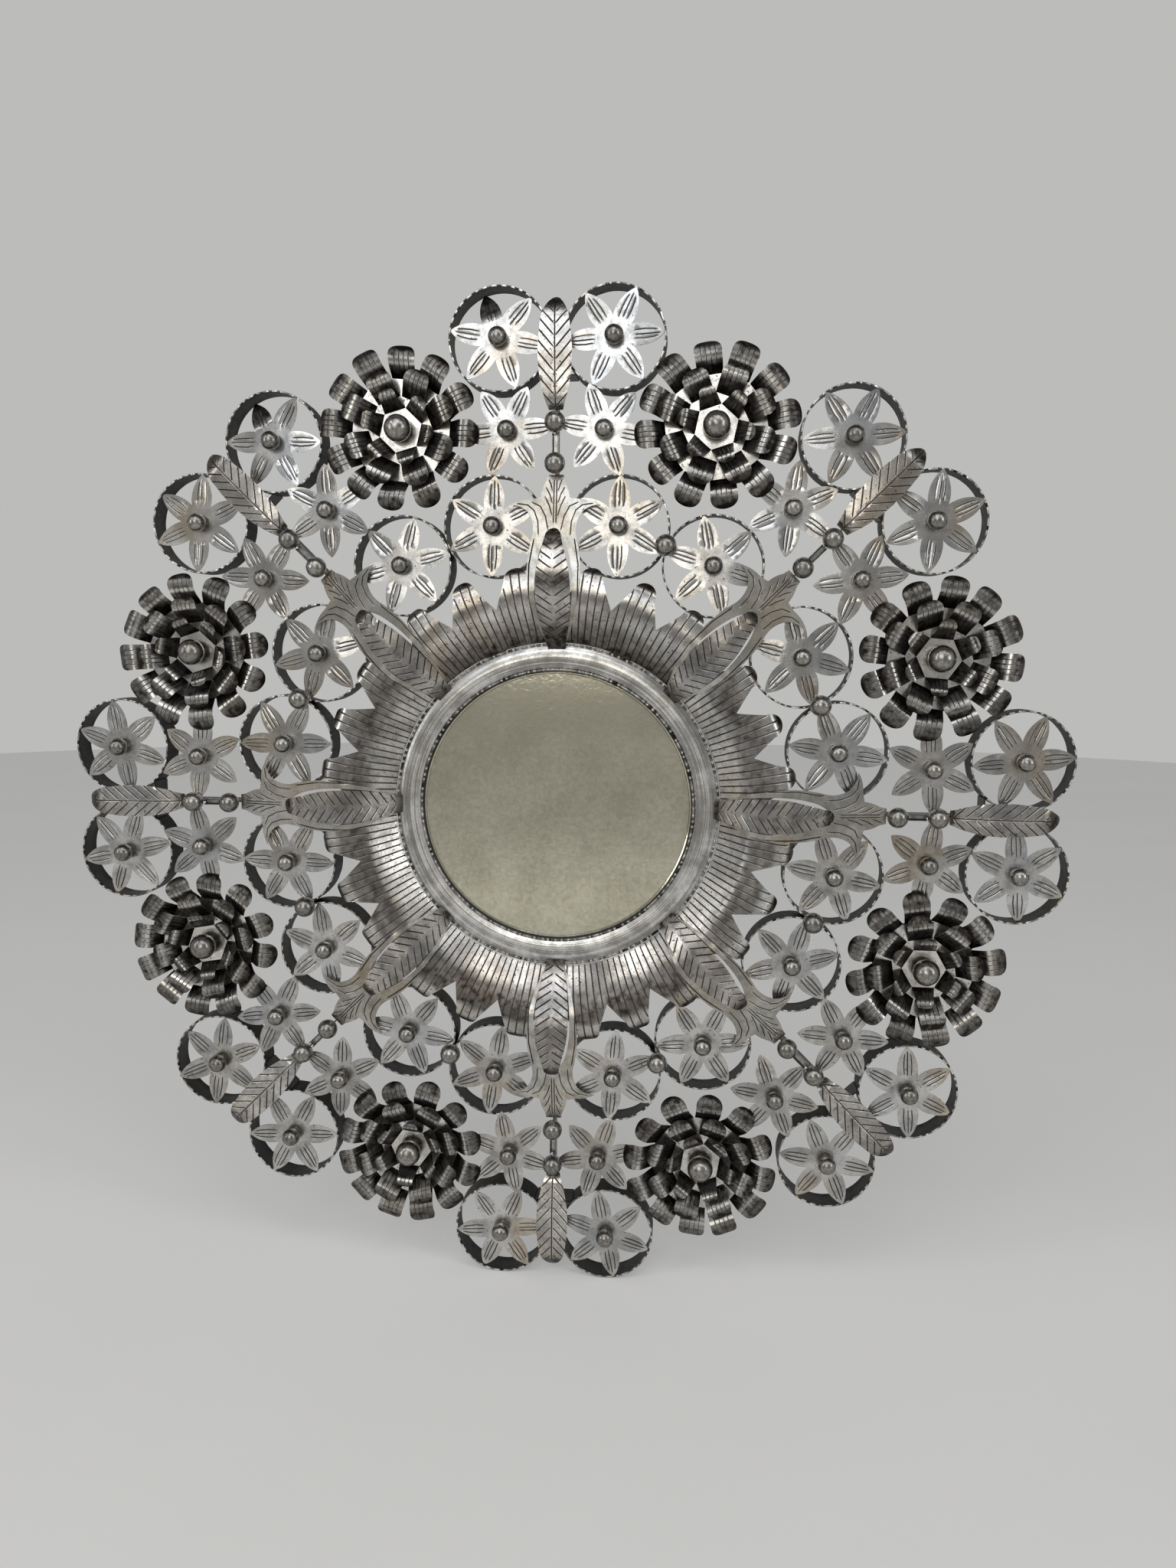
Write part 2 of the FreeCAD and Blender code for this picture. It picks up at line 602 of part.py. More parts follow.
def make_axis_balls():
    """Two balls on each axis, each on a short stem of solder on the strut's front edge."""
    ball = make_ball("axis_ball_round", "axis_ball_radius")
    bind(ball, **{"Placement.Base.y": "-(ball_stem_height + axis_ball_radius * %s)" % BALL_SEAT_SHARE})
    stem = doc.addObject("Part::Cylinder", "axis_ball_stem")
    sunk_share = 0.25
    bind(stem, Radius="ball_stem_radius", Height="ball_stem_height + axis_ball_radius * %s" % sunk_share)
    put(stem, lay=Rotation(Vector(1, 0, 0), 90))
    whole = doc.addObject("Part::Fuse", "axis_ball_master")
    whole.Base = ball
    whole.Tool = stem
    pieces = []
    for index in range(int(size("axis_count"))):
        for place in ("axis_ball_inner_radius", "axis_ball_outer_radius"):
            link = copy_of(whole, "%s_%d" % (place, index))
            pieces.append(put(link, place, "%s * %d" % (AXIS_TURN, index), "strip_depth"))
    return group("axis_balls", pieces)


def make_links():
    """Folded channel between the two balls of an axis."""
    body = new_body("axis_link_master")
    sketch = new_sketch(body, "LinkSection", "XY_Plane")
    floor, half = "ball_stem_height", "link_width / 2"
    wall = half + " - tin"
    crest = "-(" + floor + " + link_height)"
    side = [(half, "-" + floor), (half, crest), (wall, crest), (wall, "-(" + floor + " + tin)")]
    draw(sketch, mirrored(side))
    girth = "sqrt(axis_ball_radius ^ 2 - (axis_ball_radius * %s - link_height) ^ 2)" % BALL_SEAT_SHARE
    pitch = "(axis_ball_outer_radius - axis_ball_inner_radius)"
    pad(body, sketch, "%s - 2 * %s - 2 * solder_gap" % (pitch, girth), both_ways=True)
    middle = "(axis_ball_outer_radius + axis_ball_inner_radius) / 2"
    pieces = [put(copy_of(body, "AxisLink%d" % index), middle, "%s * %d" % (AXIS_TURN, index), "strip_depth",
                  size(AXIS_TURN) * index) for index in range(int(size("axis_count")))]
    return group("axis_links", pieces)


def make_knots():
    """Balls where neighbouring inner hoops meet; one of them is lost."""
    ball = make_ball("knot_ball_master", "knot_ball_radius")
    upright = Rotation(Vector(1, 0, 0), 90)
    front = "strip_depth + knot_ball_radius * " + BALL_SEAT_SHARE
    pieces = [put(copy_of(ball, "KnotBall%d" % index), KNOT_RADIUS, between_axes(index), front, lay=upright)
              for index in range(int(size("axis_count"))) if index != LOST_KNOT]
    return group("knot_balls", pieces)


def make_curl_ring(ring, rise, layer, line_shares, outline_shares, turns):
    """Plate with as many sides as petals; from each side a petal bends up and curls back."""
    name = "rosette_" + ring + "_petals"
    count, fold, reach = (ring + "_curl_" + word for word in ("count", "fold", "reach"))
    body = new_body(name + "_master")
    half_pitch = "(180 / %s)" % count
    corner = "%s / cos(%s)" % (fold, half_pitch)
    plate = new_sketch(body, name + "Plate", "XZ_Plane")
    turns_to_corners = ["%s * %d" % (half_pitch, step) for step in range(1, 2 * int(size(count)), 2)]
    draw(plate, [("%s * sin(%s)" % (corner, turn), "%s * cos(%s)" % (corner, turn))
                 for turn in turns_to_corners])
    pad(body, plate, "tin")
    half_side = "(%s * tan(%s))" % (fold, half_pitch)
    length = "(%s - %s)" % (reach, fold)
    front = [(fold + " - tin", "tin")] + front_line(fold, length, "tin", rise, line_shares)
    petal = bent_strip(body, front, "2 * " + half_side)
    flank = new_sketch(body, name + "Flank", "XZ_Plane")
    side = [(half_side, fold)] + along(fold, length, half_side, outline_shares)
    far = "(%s + overrun)" % reach
    wide = "%s * tan(%s)" % (far, half_pitch)
    draw(flank, mirrored(side) + [("-" + wide, far), (wide, far)])
    repeat(body, [petal, cut_through(body, flank)], count)
    back = ROSETTE_BACK + " + tin * %d" % layer
    row = "rosette_row_radius"
    pieces = [put(copy_of(body, "%s%d" % (name, index)), row, between_axes(index), back, own_turn)
              for index, own_turn in enumerate(turns)]
    return group(name, pieces)


def make_rosettes():
    """Three nested rings of curled petals and a ball between each pair of axes."""
    # Each petal has its line from fold to tip and its half outline, as shares
    outer_line_shares = [(0, 0), (0.2526, 0.66), (0.589, 1.0, "arc"), (1.0, CURL_TIP_SHARE)]
    middle_line_shares = [(0, 0), (0.421, 0.788), (0.707, 1.0, "arc"), (1.0, 0.77)]
    inner_line_shares = [(0, 0), (0.461, 0.816), (0.767, 1.0, "arc"), (1.0, 0.907)]
    outer_shares = [(0.93, 0), (0.99, 0.58), (0.72, 0.87, "arc"), (0, 1.0)]
    middle_shares = [(0.93, 0), (0.98, 0.6), (0.75, 0.88, "arc"), (0, 1.0)]
    inner_shares = [(0.97, 0), (0.68, 0.68), (0.48, 0.92, "arc"), (0, 1.0)]
    step_rise = "(outer_curl_rise + curl_step)"
    nodes = make_curl_ring("outer", "outer_curl_rise", 0, outer_line_shares, outer_shares, OUTER_CURL_TURNS)
    nodes += make_curl_ring("middle", step_rise, 1, middle_line_shares, middle_shares, MIDDLE_CURL_TURNS)
    nodes += make_curl_ring("inner", step_rise, 2, inner_line_shares, inner_shares, INNER_CURL_TURNS)
    ball = make_ball("rosette_ball_master", "rosette_ball_radius")
    front = ROSETTE_BACK + " + 3 * tin + rosette_ball_radius * " + BALL_SEAT_SHARE
    pieces = [put(copy_of(ball, "RosetteBall%d" % index), "rosette_row_radius", between_axes(index), front,
                  lay=Rotation(Vector(1, 0, 0), 90)) for index in range(int(size("axis_count")))]
    return nodes + group("rosette_balls", pieces)


def make_lugs():
    """Two soldered tabs on the pan's wall, each with a hole for a wire or a nail."""
    body = new_body("lug_master")
    sketch = new_sketch(body, "LugSection", "YZ_Plane")
    near = "pan_radius + solder_gap / 2"
    far = "pan_radius + lug_reach"
    foot = near + " + lug_thickness"
    draw(sketch, [("0", near), ("-lug_foot", near), ("-lug_foot", foot), ("-lug_thickness", foot),
                  ("-lug_thickness", far), ("0", far)])
    pad(body, sketch, "lug_width", both_ways=True)
    hole = new_sketch(body, "LugHole", "XZ_Plane")
    index = hole.addGeometry(Part.Circle(Vector(0, size(far), 0), Vector(0, 0, 1), size("lug_hole_radius")))
    hold(hole, index, 3, "0", far + " - lug_hole_edge")
    rule = hole.addConstraint(Sketcher.Constraint("Radius", index, size("lug_hole_radius")))
    hole.setExpression("Constraints[%d]" % rule, bound("lug_hole_radius"))
    cut_through(body, hole)
    pieces = [put(copy_of(body, "Lug%d" % side), spin=size(HALF_TURN) * side) for side in (-1, 1)]
    return group("hanging_lugs", pieces)


nodes = []
nodes += make_pan()
nodes += make_disc("backing_board", "pan_radius - tin - solder_gap", "tin", "board_thickness")
nodes += make_disc("mirror_glass", "glass_radius", GLASS_BACK, "glass_thickness")
nodes += make_ring()
nodes += make_wire("bezel_inner_wire", "ring_inner_radius - wire_radius - solder_gap", COLLAR_BASE)
nodes += make_wire("bezel_outer_wire", WIRE_OUT_RADIUS, "pan_depth")
nodes += make_collar()
nodes += make_inner_leaf()
nodes += make_palmette()
nodes += make_outer_leaf()
nodes += make_radial_strut()
nodes += make_cross_strut()
nodes += make_hoops()
nodes += make_flowers()
nodes += make_flower_balls()
nodes += make_axis_balls()
nodes += make_links()
nodes += make_knots()
nodes += make_rosettes()
nodes += make_lugs()
doc.recompute()

for thing in doc.Objects:
    if "Invalid" in thing.State or "Error" in thing.State:
        raise RuntimeError("%s failed: %s" % (thing.Label, thing.State))
os.makedirs("parts", exist_ok=True)
for node in nodes:
    shape = Part.getShape(node)
    if shape.isNull() or not shape.isValid():
        raise RuntimeError("%s has no valid shape" % node.Label)
    shape.exportStep("parts/%s.step" % node.Label)
    box = shape.BoundBox
    print("%-24s %3d solids  %9.1f mm3  y %6.1f to %5.1f" % (node.Label, len(shape.Solids), shape.Volume,
                                                             box.YMin, box.YMax))
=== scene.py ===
# %% [markdown]
# # A Mexican tin mirror in Blender
# The mirror is about a metre across. Its maker cut tin sheet with snips, chased lines into it with
# a blunt chisel, bent the pieces and soldered them together. The solid model already has every
# piece in its place. Here each piece gets its chased lines, curls, nicks and worn metal.

# %% Load the solid model
import math
import bpy
import numpy as np
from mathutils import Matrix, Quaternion, Vector, geometry


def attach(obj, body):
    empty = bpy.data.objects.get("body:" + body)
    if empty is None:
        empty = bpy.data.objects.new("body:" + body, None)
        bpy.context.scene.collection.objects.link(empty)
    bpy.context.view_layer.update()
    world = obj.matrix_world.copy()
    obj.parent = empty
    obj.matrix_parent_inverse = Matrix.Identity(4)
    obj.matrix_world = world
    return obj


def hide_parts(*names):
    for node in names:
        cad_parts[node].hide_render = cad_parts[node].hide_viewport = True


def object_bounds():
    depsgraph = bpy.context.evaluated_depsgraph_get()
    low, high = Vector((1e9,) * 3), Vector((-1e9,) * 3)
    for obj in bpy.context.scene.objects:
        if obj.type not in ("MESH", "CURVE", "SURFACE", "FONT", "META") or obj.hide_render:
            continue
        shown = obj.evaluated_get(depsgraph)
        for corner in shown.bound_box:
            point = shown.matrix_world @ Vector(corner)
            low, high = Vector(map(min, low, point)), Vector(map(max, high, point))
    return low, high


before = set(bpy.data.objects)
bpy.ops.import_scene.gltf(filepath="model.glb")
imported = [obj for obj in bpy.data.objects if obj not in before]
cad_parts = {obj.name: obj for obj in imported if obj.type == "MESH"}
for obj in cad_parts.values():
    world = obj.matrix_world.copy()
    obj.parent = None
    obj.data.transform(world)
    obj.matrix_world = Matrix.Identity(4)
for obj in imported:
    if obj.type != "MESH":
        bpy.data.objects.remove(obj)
cad_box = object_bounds()
print("solid model:", len(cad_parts), "nodes, box", [tuple(round(c, 4) for c in p) for p in cad_box])

# %% [markdown]
# Every size below is in millimetres, because that is how a tinsmith measures, and one factor turns
# them into Blender's metres. One seeded source of chance gives the small handmade differences, so
# the scene comes out the same each time.

# %% Units and chance
MM = 0.001
chance = np.random.default_rng(23)
print("one millimetre is", MM, "Blender units")

# %% [markdown]
# ## Camera, floor and light
# The camera stands about a metre in front, a little right of the middle and looking slightly down,
# with a wide lens. It could be placed by eye, but a wide lens shows every error, so its place was
# found by fitting the mirror's circles to the photograph.

# %% Camera
EYE = (0.1345, -1.0723, 0.1645)
LOOK = (-0.0958, 0.9867, -0.1313)
ROLL = math.radians(0.44)
LENS_MM = 24.85
SENSOR_MM = 36
viewpoint_data = bpy.data.cameras.new("viewpoint")
viewpoint_data.lens = LENS_MM
viewpoint_data.sensor_width = SENSOR_MM
viewpoint = bpy.data.objects.new("viewpoint", viewpoint_data)
viewpoint.location = EYE
level = Vector(LOOK).to_track_quat("-Z", "Y")
viewpoint.rotation_mode = "QUATERNION"
viewpoint.rotation_quaternion = level @ Quaternion((0, 0, 1), ROLL)
bpy.context.scene.collection.objects.link(viewpoint)
bpy.context.scene.camera = viewpoint
print("camera", EYE, "lens", LENS_MM, "mm")

# %% [markdown]
# Colours are written as the hex values that a paint program shows. Blender mixes light in linear
# values, so one function turns the first into the second. A second small function adds a node to a
# material, sets it and links it, which keeps each finish short enough to read.

# %% Colour and node helpers
def linear(hex_colour):
    """Linear RGBA of an sRGB hex value."""
    parts = [int(hex_colour[place:place + 2], 16) / 255 for place in (1, 3, 5)]
    return tuple(c / 12.92 if c <= 0.04045 else ((c + 0.055) / 1.055) ** 2.4 for c in parts) + (1.0,)


def add_node(tree, kind, inputs=None, **settings):
    """Add a shader node; an input is a value, or another node's output to link from."""
    node = tree.nodes.new("ShaderNode" + kind)
    for name, value in settings.items():
        setattr(node, name, value)
    for name, value in (inputs or {}).items():
        socket = next(s for s in node.inputs if s.identifier == name)
        if isinstance(value, bpy.types.NodeSocket):
            tree.links.new(value, socket)
        else:
            socket.default_value = value
    return node


def new_material(name):
    """An empty node material."""
    material = bpy.data.materials.new(name)
    material.use_nodes = True
    material.node_tree.nodes.clear()
    return material, material.node_tree


print("mid grey #808080 is", round(linear("#808080")[0], 3), "in linear light")

# %% [markdown]
# The studio is plain: pale air behind the mirror, dimmer behind the camera and overhead, and soft
# lamps in front, above and at both sides. One even light would be simpler, but polished metal has
# little colour of its own and shows the room, so where the lamps stand matters more than how strong
# they are. The wide one is what the flat pieces of the top and the upper left mirror, and the low
# one reaches the palmette at the top. The slim ones and those in the corners draw a bright streak
# on every curved piece.

# %% Studio
# Each lamp: middle and aim (x, y, z), width and height in metres, radiance and tint
LAMPS = {
    "wide_lamp": ((-0.38, -2.2, 1.24), (0.0, 1.0, -0.2), (1.35, 0.98), 2.2, (0.91, 0.955, 1.0)),
    "low_lamp": ((-0.25, -2.2, 0.42), (0.0, 1.0, -0.1), (0.82, 0.64), 2.3, (1.0, 0.945, 0.84)),
    "top_lamp": ((0.1, -1.45, 2.1), (0.0, 1.45, -2.1), (1.8, 1.1), 1.9, (1.0, 1.0, 1.0)),
    "right_lamp": ((1.95, -1.2, 0.62), (-1.0, 0.65, -0.1), (0.5, 1.3), 3.0, (1.0, 1.0, 1.0)),
    "left_lamp": ((-2.05, -1.35, 0.62), (1.0, 0.7, -0.1), (0.5, 1.3), 3.0, (1.0, 0.99, 0.97)),
    "right_corner_lamp": ((1.5, -1.3, 1.75), (-1.0, 0.9, -1.2), (0.6, 0.6), 3.0, (1.0, 1.0, 1.0)),
    "left_corner_lamp": ((-1.5, -1.3, 1.75), (1.0, 0.9, -1.2), (0.6, 0.6), 3.0, (1.0, 0.99, 0.97)),
}
AIR_BEHIND = "#bcbcba"
AIR_FRONT = "#9b9b9a"
AIR_HIGH = "#505154"
# Where the air turns from one tone to the next, as parts of a direction of length one
FRONT_FROM, FRONT_TO = 0.3, -0.5
HIGH_FROM, HIGH_TO = 0.5, 0.85

for name, (place, aim, (wide, high), radiance, tint) in LAMPS.items():
    lamp_data = bpy.data.lights.new(name, "AREA")
    lamp_data.shape = "RECTANGLE"
    lamp_data.size, lamp_data.size_y = wide, high
    lamp_data.energy = radiance * math.pi * wide * high
    lamp_data.color = tint
    lamp = bpy.data.objects.new(name, lamp_data)
    lamp.location = place
    lamp.rotation_euler = Vector(aim).to_track_quat("-Z", "Y").to_euler()
    lamp.visible_camera = False
    bpy.context.scene.collection.objects.link(lamp)
    print(name, round(lamp_data.energy, 1), "W")

world = bpy.data.worlds.new("studio_air")
world.use_nodes = True
bpy.context.scene.world = world
air = world.node_tree
air.nodes.clear()
heading = add_node(air, "TexCoord").outputs["Generated"]
heading = add_node(air, "SeparateXYZ", {"Vector": heading}).outputs
front_share = add_node(air, "MapRange", {"Value": heading["Y"], "From Min": FRONT_FROM,
                                         "From Max": FRONT_TO}).outputs[0]
high_share = add_node(air, "MapRange", {"Value": heading["Z"], "From Min": HIGH_FROM,
                                        "From Max": HIGH_TO}).outputs[0]
tone = add_node(air, "Mix", {"Factor_Float": front_share, "A_Color": linear(AIR_BEHIND),
                             "B_Color": linear(AIR_FRONT)}, data_type="RGBA").outputs["Result"]
tone = add_node(air, "Mix", {"Factor_Float": high_share, "A_Color": tone, "B_Color": linear(AIR_HIGH)},
                data_type="RGBA").outputs["Result"]
backdrop = add_node(air, "Background", {"Color": tone, "Strength": 1.0})
add_node(air, "OutputWorld", {"Surface": backdrop.outputs[0]})
bpy.context.scene.view_settings.view_transform = "Standard"

# %% [markdown]
# The floor is a wide disc of smooth pale concrete with faint clouds. Far from the lamps it would
# fall dark, and that dark would show through the openwork. Stronger lamps would bleach the mirror,
# so the floor gets a weak glow that only the camera, polished metal and glass see. The mirror's
# shadow stays on it.

# %% Floor
FLOOR_RADIUS = 6.0
FLOOR_SIDES = 96
FLOOR_GAP = 0.0005
FLOOR_GLOW = 0.24
CONCRETE_CLOUD_MM = 1000 / 3
CONCRETE_DARK, CONCRETE_PALE = "#bfbebb", "#c9c8c5"
floor_height = cad_box[0][2] - FLOOR_GAP
floor_turns = [math.tau * k / FLOOR_SIDES for k in range(FLOOR_SIDES)]
floor_edge = [(FLOOR_RADIUS * math.sin(turn), FLOOR_RADIUS * math.cos(turn), floor_height)
              for turn in floor_turns]
floor_mesh = bpy.data.meshes.new("studio_floor")
floor_mesh.from_pydata(floor_edge, [], [tuple(reversed(range(FLOOR_SIDES)))])
floor = bpy.data.objects.new("studio_floor", floor_mesh)
bpy.context.scene.collection.objects.link(floor)
smooth_concrete, tree = new_material("smooth_pale_concrete")
spot = add_node(tree, "TexCoord").outputs["Object"]
cloud = add_node(tree, "TexNoise", {"Vector": spot, "Scale": 1 / (CONCRETE_CLOUD_MM * MM),
                                    "Detail": 5.0}).outputs["Fac"]
tone = add_node(tree, "Mix", {"Factor_Float": cloud, "A_Color": linear(CONCRETE_DARK),
                              "B_Color": linear(CONCRETE_PALE)}, data_type="RGBA").outputs["Result"]
shader = add_node(tree, "BsdfPrincipled", {"Base Color": tone, "Roughness": 0.75}).outputs[0]
rays = add_node(tree, "LightPath").outputs
seen = add_node(tree, "Math", {"Value": rays["Is Camera Ray"], "Value_001": rays["Is Glossy Ray"]},
                operation="MAXIMUM").outputs[0]
seen = add_node(tree, "Math", {"Value": seen, "Value_001": rays["Is Transmission Ray"]},
                operation="MAXIMUM").outputs[0]
strength = add_node(tree, "Math", {"Value": seen, "Value_001": FLOOR_GLOW},
                    operation="MULTIPLY").outputs[0]
glow = add_node(tree, "Emission", {"Color": linear("#ffffff"), "Strength": strength}).outputs[0]
shader = add_node(tree, "AddShader", {"Shader": shader, "Shader_001": glow})
add_node(tree, "OutputMaterial", {"Surface": shader.outputs[0]})
floor_mesh.materials.append(smooth_concrete)
print("floor at", round(floor_height, 4), "m")

# %% [markdown]
# ## The metals
# Tin plate is steel sheet with a skin of tin: a pale, slightly warm grey that dulls in clouds. The
# maker rubbed dark patina into it and wiped it off again, so it stays in the chased lines and in
# small pits. A separate material for each look would repeat the same nodes six times, so one recipe
# makes every tin finish, and a few numbers tell them apart. Each sheet piece carries three values
# for every point: "groove" in a chased line, "shade" for patina rubbed in along the sheet and for
# painted shade and painted reflections, and "own", which differs from piece to piece.

# %% Tin plate recipe
# Sizes of the patterns; real grain and pits are finer, and drawn as coarse as they need to show
CLOUD_MM = 22
GRAIN_MM = 1.1
PIT_MM = 2.6
STAIN_MM = 55
SMUDGE_MM = 7
RUB_MM = 3.5
# Tints: stain noise at its first trace and at its fullest, its tint, and its share of the stain.
# The warm tint is partly tarnish and partly painted reflection of warm light; the bluish one is
# painted reflection of blue sky light.
TARNISH_AND_SKY_TINTS = ((0.54, 0.68, "#bda47c", 1.0), (0.46, 0.36, "#abb9cb", 0.5))
MOST_SMUDGE = 0.3
GRAIN_RELIEF = 0.05
GRAIN_HEIGHT_MM = 0.4


def tin_plate(name, bright, dull, patina_and_shade, roughness, pits=0.62, stain=0.25, metallic=1.0, rubbed=False):
    """Tin sheet: bright and dull clouds, stains and tints, pits, patina and painted shade, fine grain."""
    material, tree = new_material(name)
    place = add_node(tree, "TexCoord").outputs["Object"]
    mark = {}
    for layer in ("own", "groove", "shade"):
        mark[layer] = add_node(tree, "Attribute", attribute_name=layer).outputs["Fac"]
    noise = {}
    for layer, size in (("cloud", CLOUD_MM), ("grain", GRAIN_MM), ("pit", PIT_MM), ("stain", STAIN_MM),
                        ("smudge", SMUDGE_MM)):
        noise[layer] = add_node(tree, "TexNoise", {"Vector": place, "Scale": 1 / (size * MM),
                                                   "Detail": 3.0}).outputs["Fac"]

    # How worn the metal is, from the bright tone to the dull one
    cloudy = add_node(tree, "MapRange", {"Value": noise["cloud"], "From Min": 0.35,
                                         "From Max": 0.65}).outputs[0]
    grainy = add_node(tree, "MapRange", {"Value": noise["grain"], "From Min": 0.3, "From Max": 0.7,
                                         "To Min": -0.25, "To Max": 0.25}).outputs[0]
    wear = add_node(tree, "Math", {"Value": cloudy, "Value_001": grainy}, operation="ADD",
                    use_clamp=True).outputs[0]
    if rubbed:
        reach = add_node(tree, "VectorMath", {"Vector": place}, operation="LENGTH").outputs["Value"]
        turn = add_node(tree, "Math", {"Value": reach, "Value_001": 1 / (RUB_MM * MM)},
                        operation="MULTIPLY").outputs[0]
        streak = add_node(tree, "TexNoise", {"Vector": place, "W": turn, "Scale": 2.5, "Detail": 3.0},
                          noise_dimensions="4D").outputs["Fac"]
        streak = add_node(tree, "MapRange", {"Value": streak, "From Min": 0.35, "From Max": 0.65,
                                             "To Min": -0.8, "To Max": 0.9}).outputs[0]
        wear = add_node(tree, "Math", {"Value": wear, "Value_001": streak}, operation="ADD",
                        use_clamp=True).outputs[0]
    metal = add_node(tree, "Mix", {"Factor_Float": wear, "A_Color": linear(bright),
                                   "B_Color": linear(dull)}, data_type="RGBA").outputs["Result"]
    # Warm and bluish tints in clouds: tarnish, and painted reflection of warm light and sky light
    for low, high, tint, part in TARNISH_AND_SKY_TINTS:
        tinted = add_node(tree, "MapRange", {"Value": noise["stain"], "From Min": low, "From Max": high,
                                             "To Max": stain * part}).outputs[0]
        metal = add_node(tree, "Mix", {"Factor_Float": tinted, "A_Color": metal,
                                       "B_Color": linear(tint)}, data_type="RGBA").outputs["Result"]
    value = add_node(tree, "MapRange", {"Value": mark["own"], "To Min": 0.84, "To Max": 1.1}).outputs[0]
    metal = add_node(tree, "HueSaturation", {"Color": metal, "Value": value}).outputs[0]

    # How dark the patina is: in chased lines, where the shade mark sets patina and painted shade, in
    # smudges and in pits
    smudge = add_node(tree, "MapRange", {"Value": noise["smudge"], "From Min": 0.44, "From Max": 0.72,
                                         "To Max": MOST_SMUDGE}).outputs[0]
    shade = add_node(tree, "Math", {"Value": mark["shade"], "Value_001": smudge}, operation="ADD",
                     use_clamp=True).outputs[0]
    pitted = add_node(tree, "MapRange", {"Value": noise["pit"], "From Min": pits,
                                         "From Max": pits + 0.06, "To Max": 0.8}).outputs[0]
    filled = add_node(tree, "MapRange", {"Value": mark["groove"], "From Min": 0.14, "From Max": 0.5,
                                         "To Max": 0.93}).outputs[0]
    dark = add_node(tree, "Math", {"Value": filled, "Value_001": shade}, operation="MAXIMUM").outputs[0]
    dark = add_node(tree, "Math", {"Value": dark, "Value_001": pitted}, operation="MAXIMUM",
                    use_clamp=True).outputs[0]
    colour = add_node(tree, "Mix", {"Factor_Float": dark, "A_Color": metal, "B_Color": linear(patina_and_shade)},
                      data_type="RGBA").outputs["Result"]

    # Patina is duller than bare tin, and the grain breaks up the gloss
    grain_rough = add_node(tree, "MapRange", {"Value": noise["grain"], "To Min": roughness - 0.08,
                                              "To Max": roughness + 0.08}).outputs[0]
    rough = add_node(tree, "Math", {"Value": dark, "Value_001": 0.22, "Value_002": grain_rough},
                     operation="MULTIPLY_ADD").outputs[0]
    bump = add_node(tree, "Bump", {"Height": noise["grain"], "Strength": GRAIN_RELIEF,
                                   "Distance": GRAIN_HEIGHT_MM * MM}).outputs[0]
    shader = add_node(tree, "BsdfPrincipled", {"Base Color": colour, "Metallic": metallic,
                                               "Roughness": rough, "Normal": bump})
    add_node(tree, "OutputMaterial", {"Surface": shader.outputs[0]})
    return material


print("tin recipe: clouds", CLOUD_MM, "mm, grain", GRAIN_MM, "mm, pits", PIT_MM, "mm")

# %% [markdown]
# Each finish starts from tin's own reflection, about 60 to 70 percent, and is pulled down by its
# patina and its painted shade. Its two tones could be picked off the photograph, but metal shows the
# room, so they were matched by rendering and comparing.

# %% Tin finishes
# Flowers, wiped nearly clean: they mirror the lamps softly, with their lines drawn in patina
chased_flower_tin = tin_plate("chased_tin_plate_flowers", "#d2d0cd", "#a8a6a3", "#2d2925", 0.22,
                              pits=0.66, stain=0.35, metallic=0.95)
# Leaves and collar, a little glossier: a streak of light runs along each bend
chased_leaf_tin = tin_plate("chased_tin_plate_leaves", "#d0cdc8", "#a19d99", "#332d29", 0.20)
ribbed_collar_tin = tin_plate("ribbed_tin_plate_collar", "#dad7d2", "#a9a6a2", "#352e29", 0.19)
# Palmettes, warmer and duller from handling
palmette_tin = tin_plate("chased_tin_plate_palmettes", "#c6c2ba", "#a39f97", "#35302b", 0.23,
                         pits=0.66, metallic=0.96)
# The ring, rubbed in circles: fine rings of bright and dull run round it
rubbed_ring_tin = tin_plate("rubbed_tin_plate_ring", "#dbdad8", "#95938f", "#3c3936", 0.27,
                            pits=0.7, stain=0.12, metallic=0.95, rubbed=True)
# Rosettes: their petals are painted nearly black as shade, and a band of painted highlight crosses
# each crest
rosette_tin_painted_shade = tin_plate("tin_plate_rosettes_painted_shade", "#e2dfda", "#b5b2ad", "#2b2723", 0.19,
                                 stain=0.2)
# The back, never polished: an even, matt grey
plain_back_tin = tin_plate("plain_tin_plate_back", "#c6c4c1", "#a5a3a0", "#4a4642", 0.42, metallic=0.8)
# Strip steel blackened in the fire: dark and dull, it draws each hoop as a line
blackened_strip = tin_plate("blackened_steel_strip", "#262422", "#191716", "#0f0e0d", 0.42,
                            stain=0.05, metallic=0.7)
print("tin finishes:", len([m for m in bpy.data.materials if "tin" in m.name]))

# %% [markdown]
# The balls are pressed steel, polished and then smoked dark, so they mirror the whole room in one
# small soft light. The strips' front edges and the wires were filed bright after the blackening.
# The tin recipe would serve here too, but these pieces have no chased lines, so a shorter recipe
# does: two tones in clouds, and a soot tone where the "shade" mark is set, which in the hoops'
# nicks is painted shade.

# %% Steel
SOOT_AND_NICK_SHADE = "#171412"


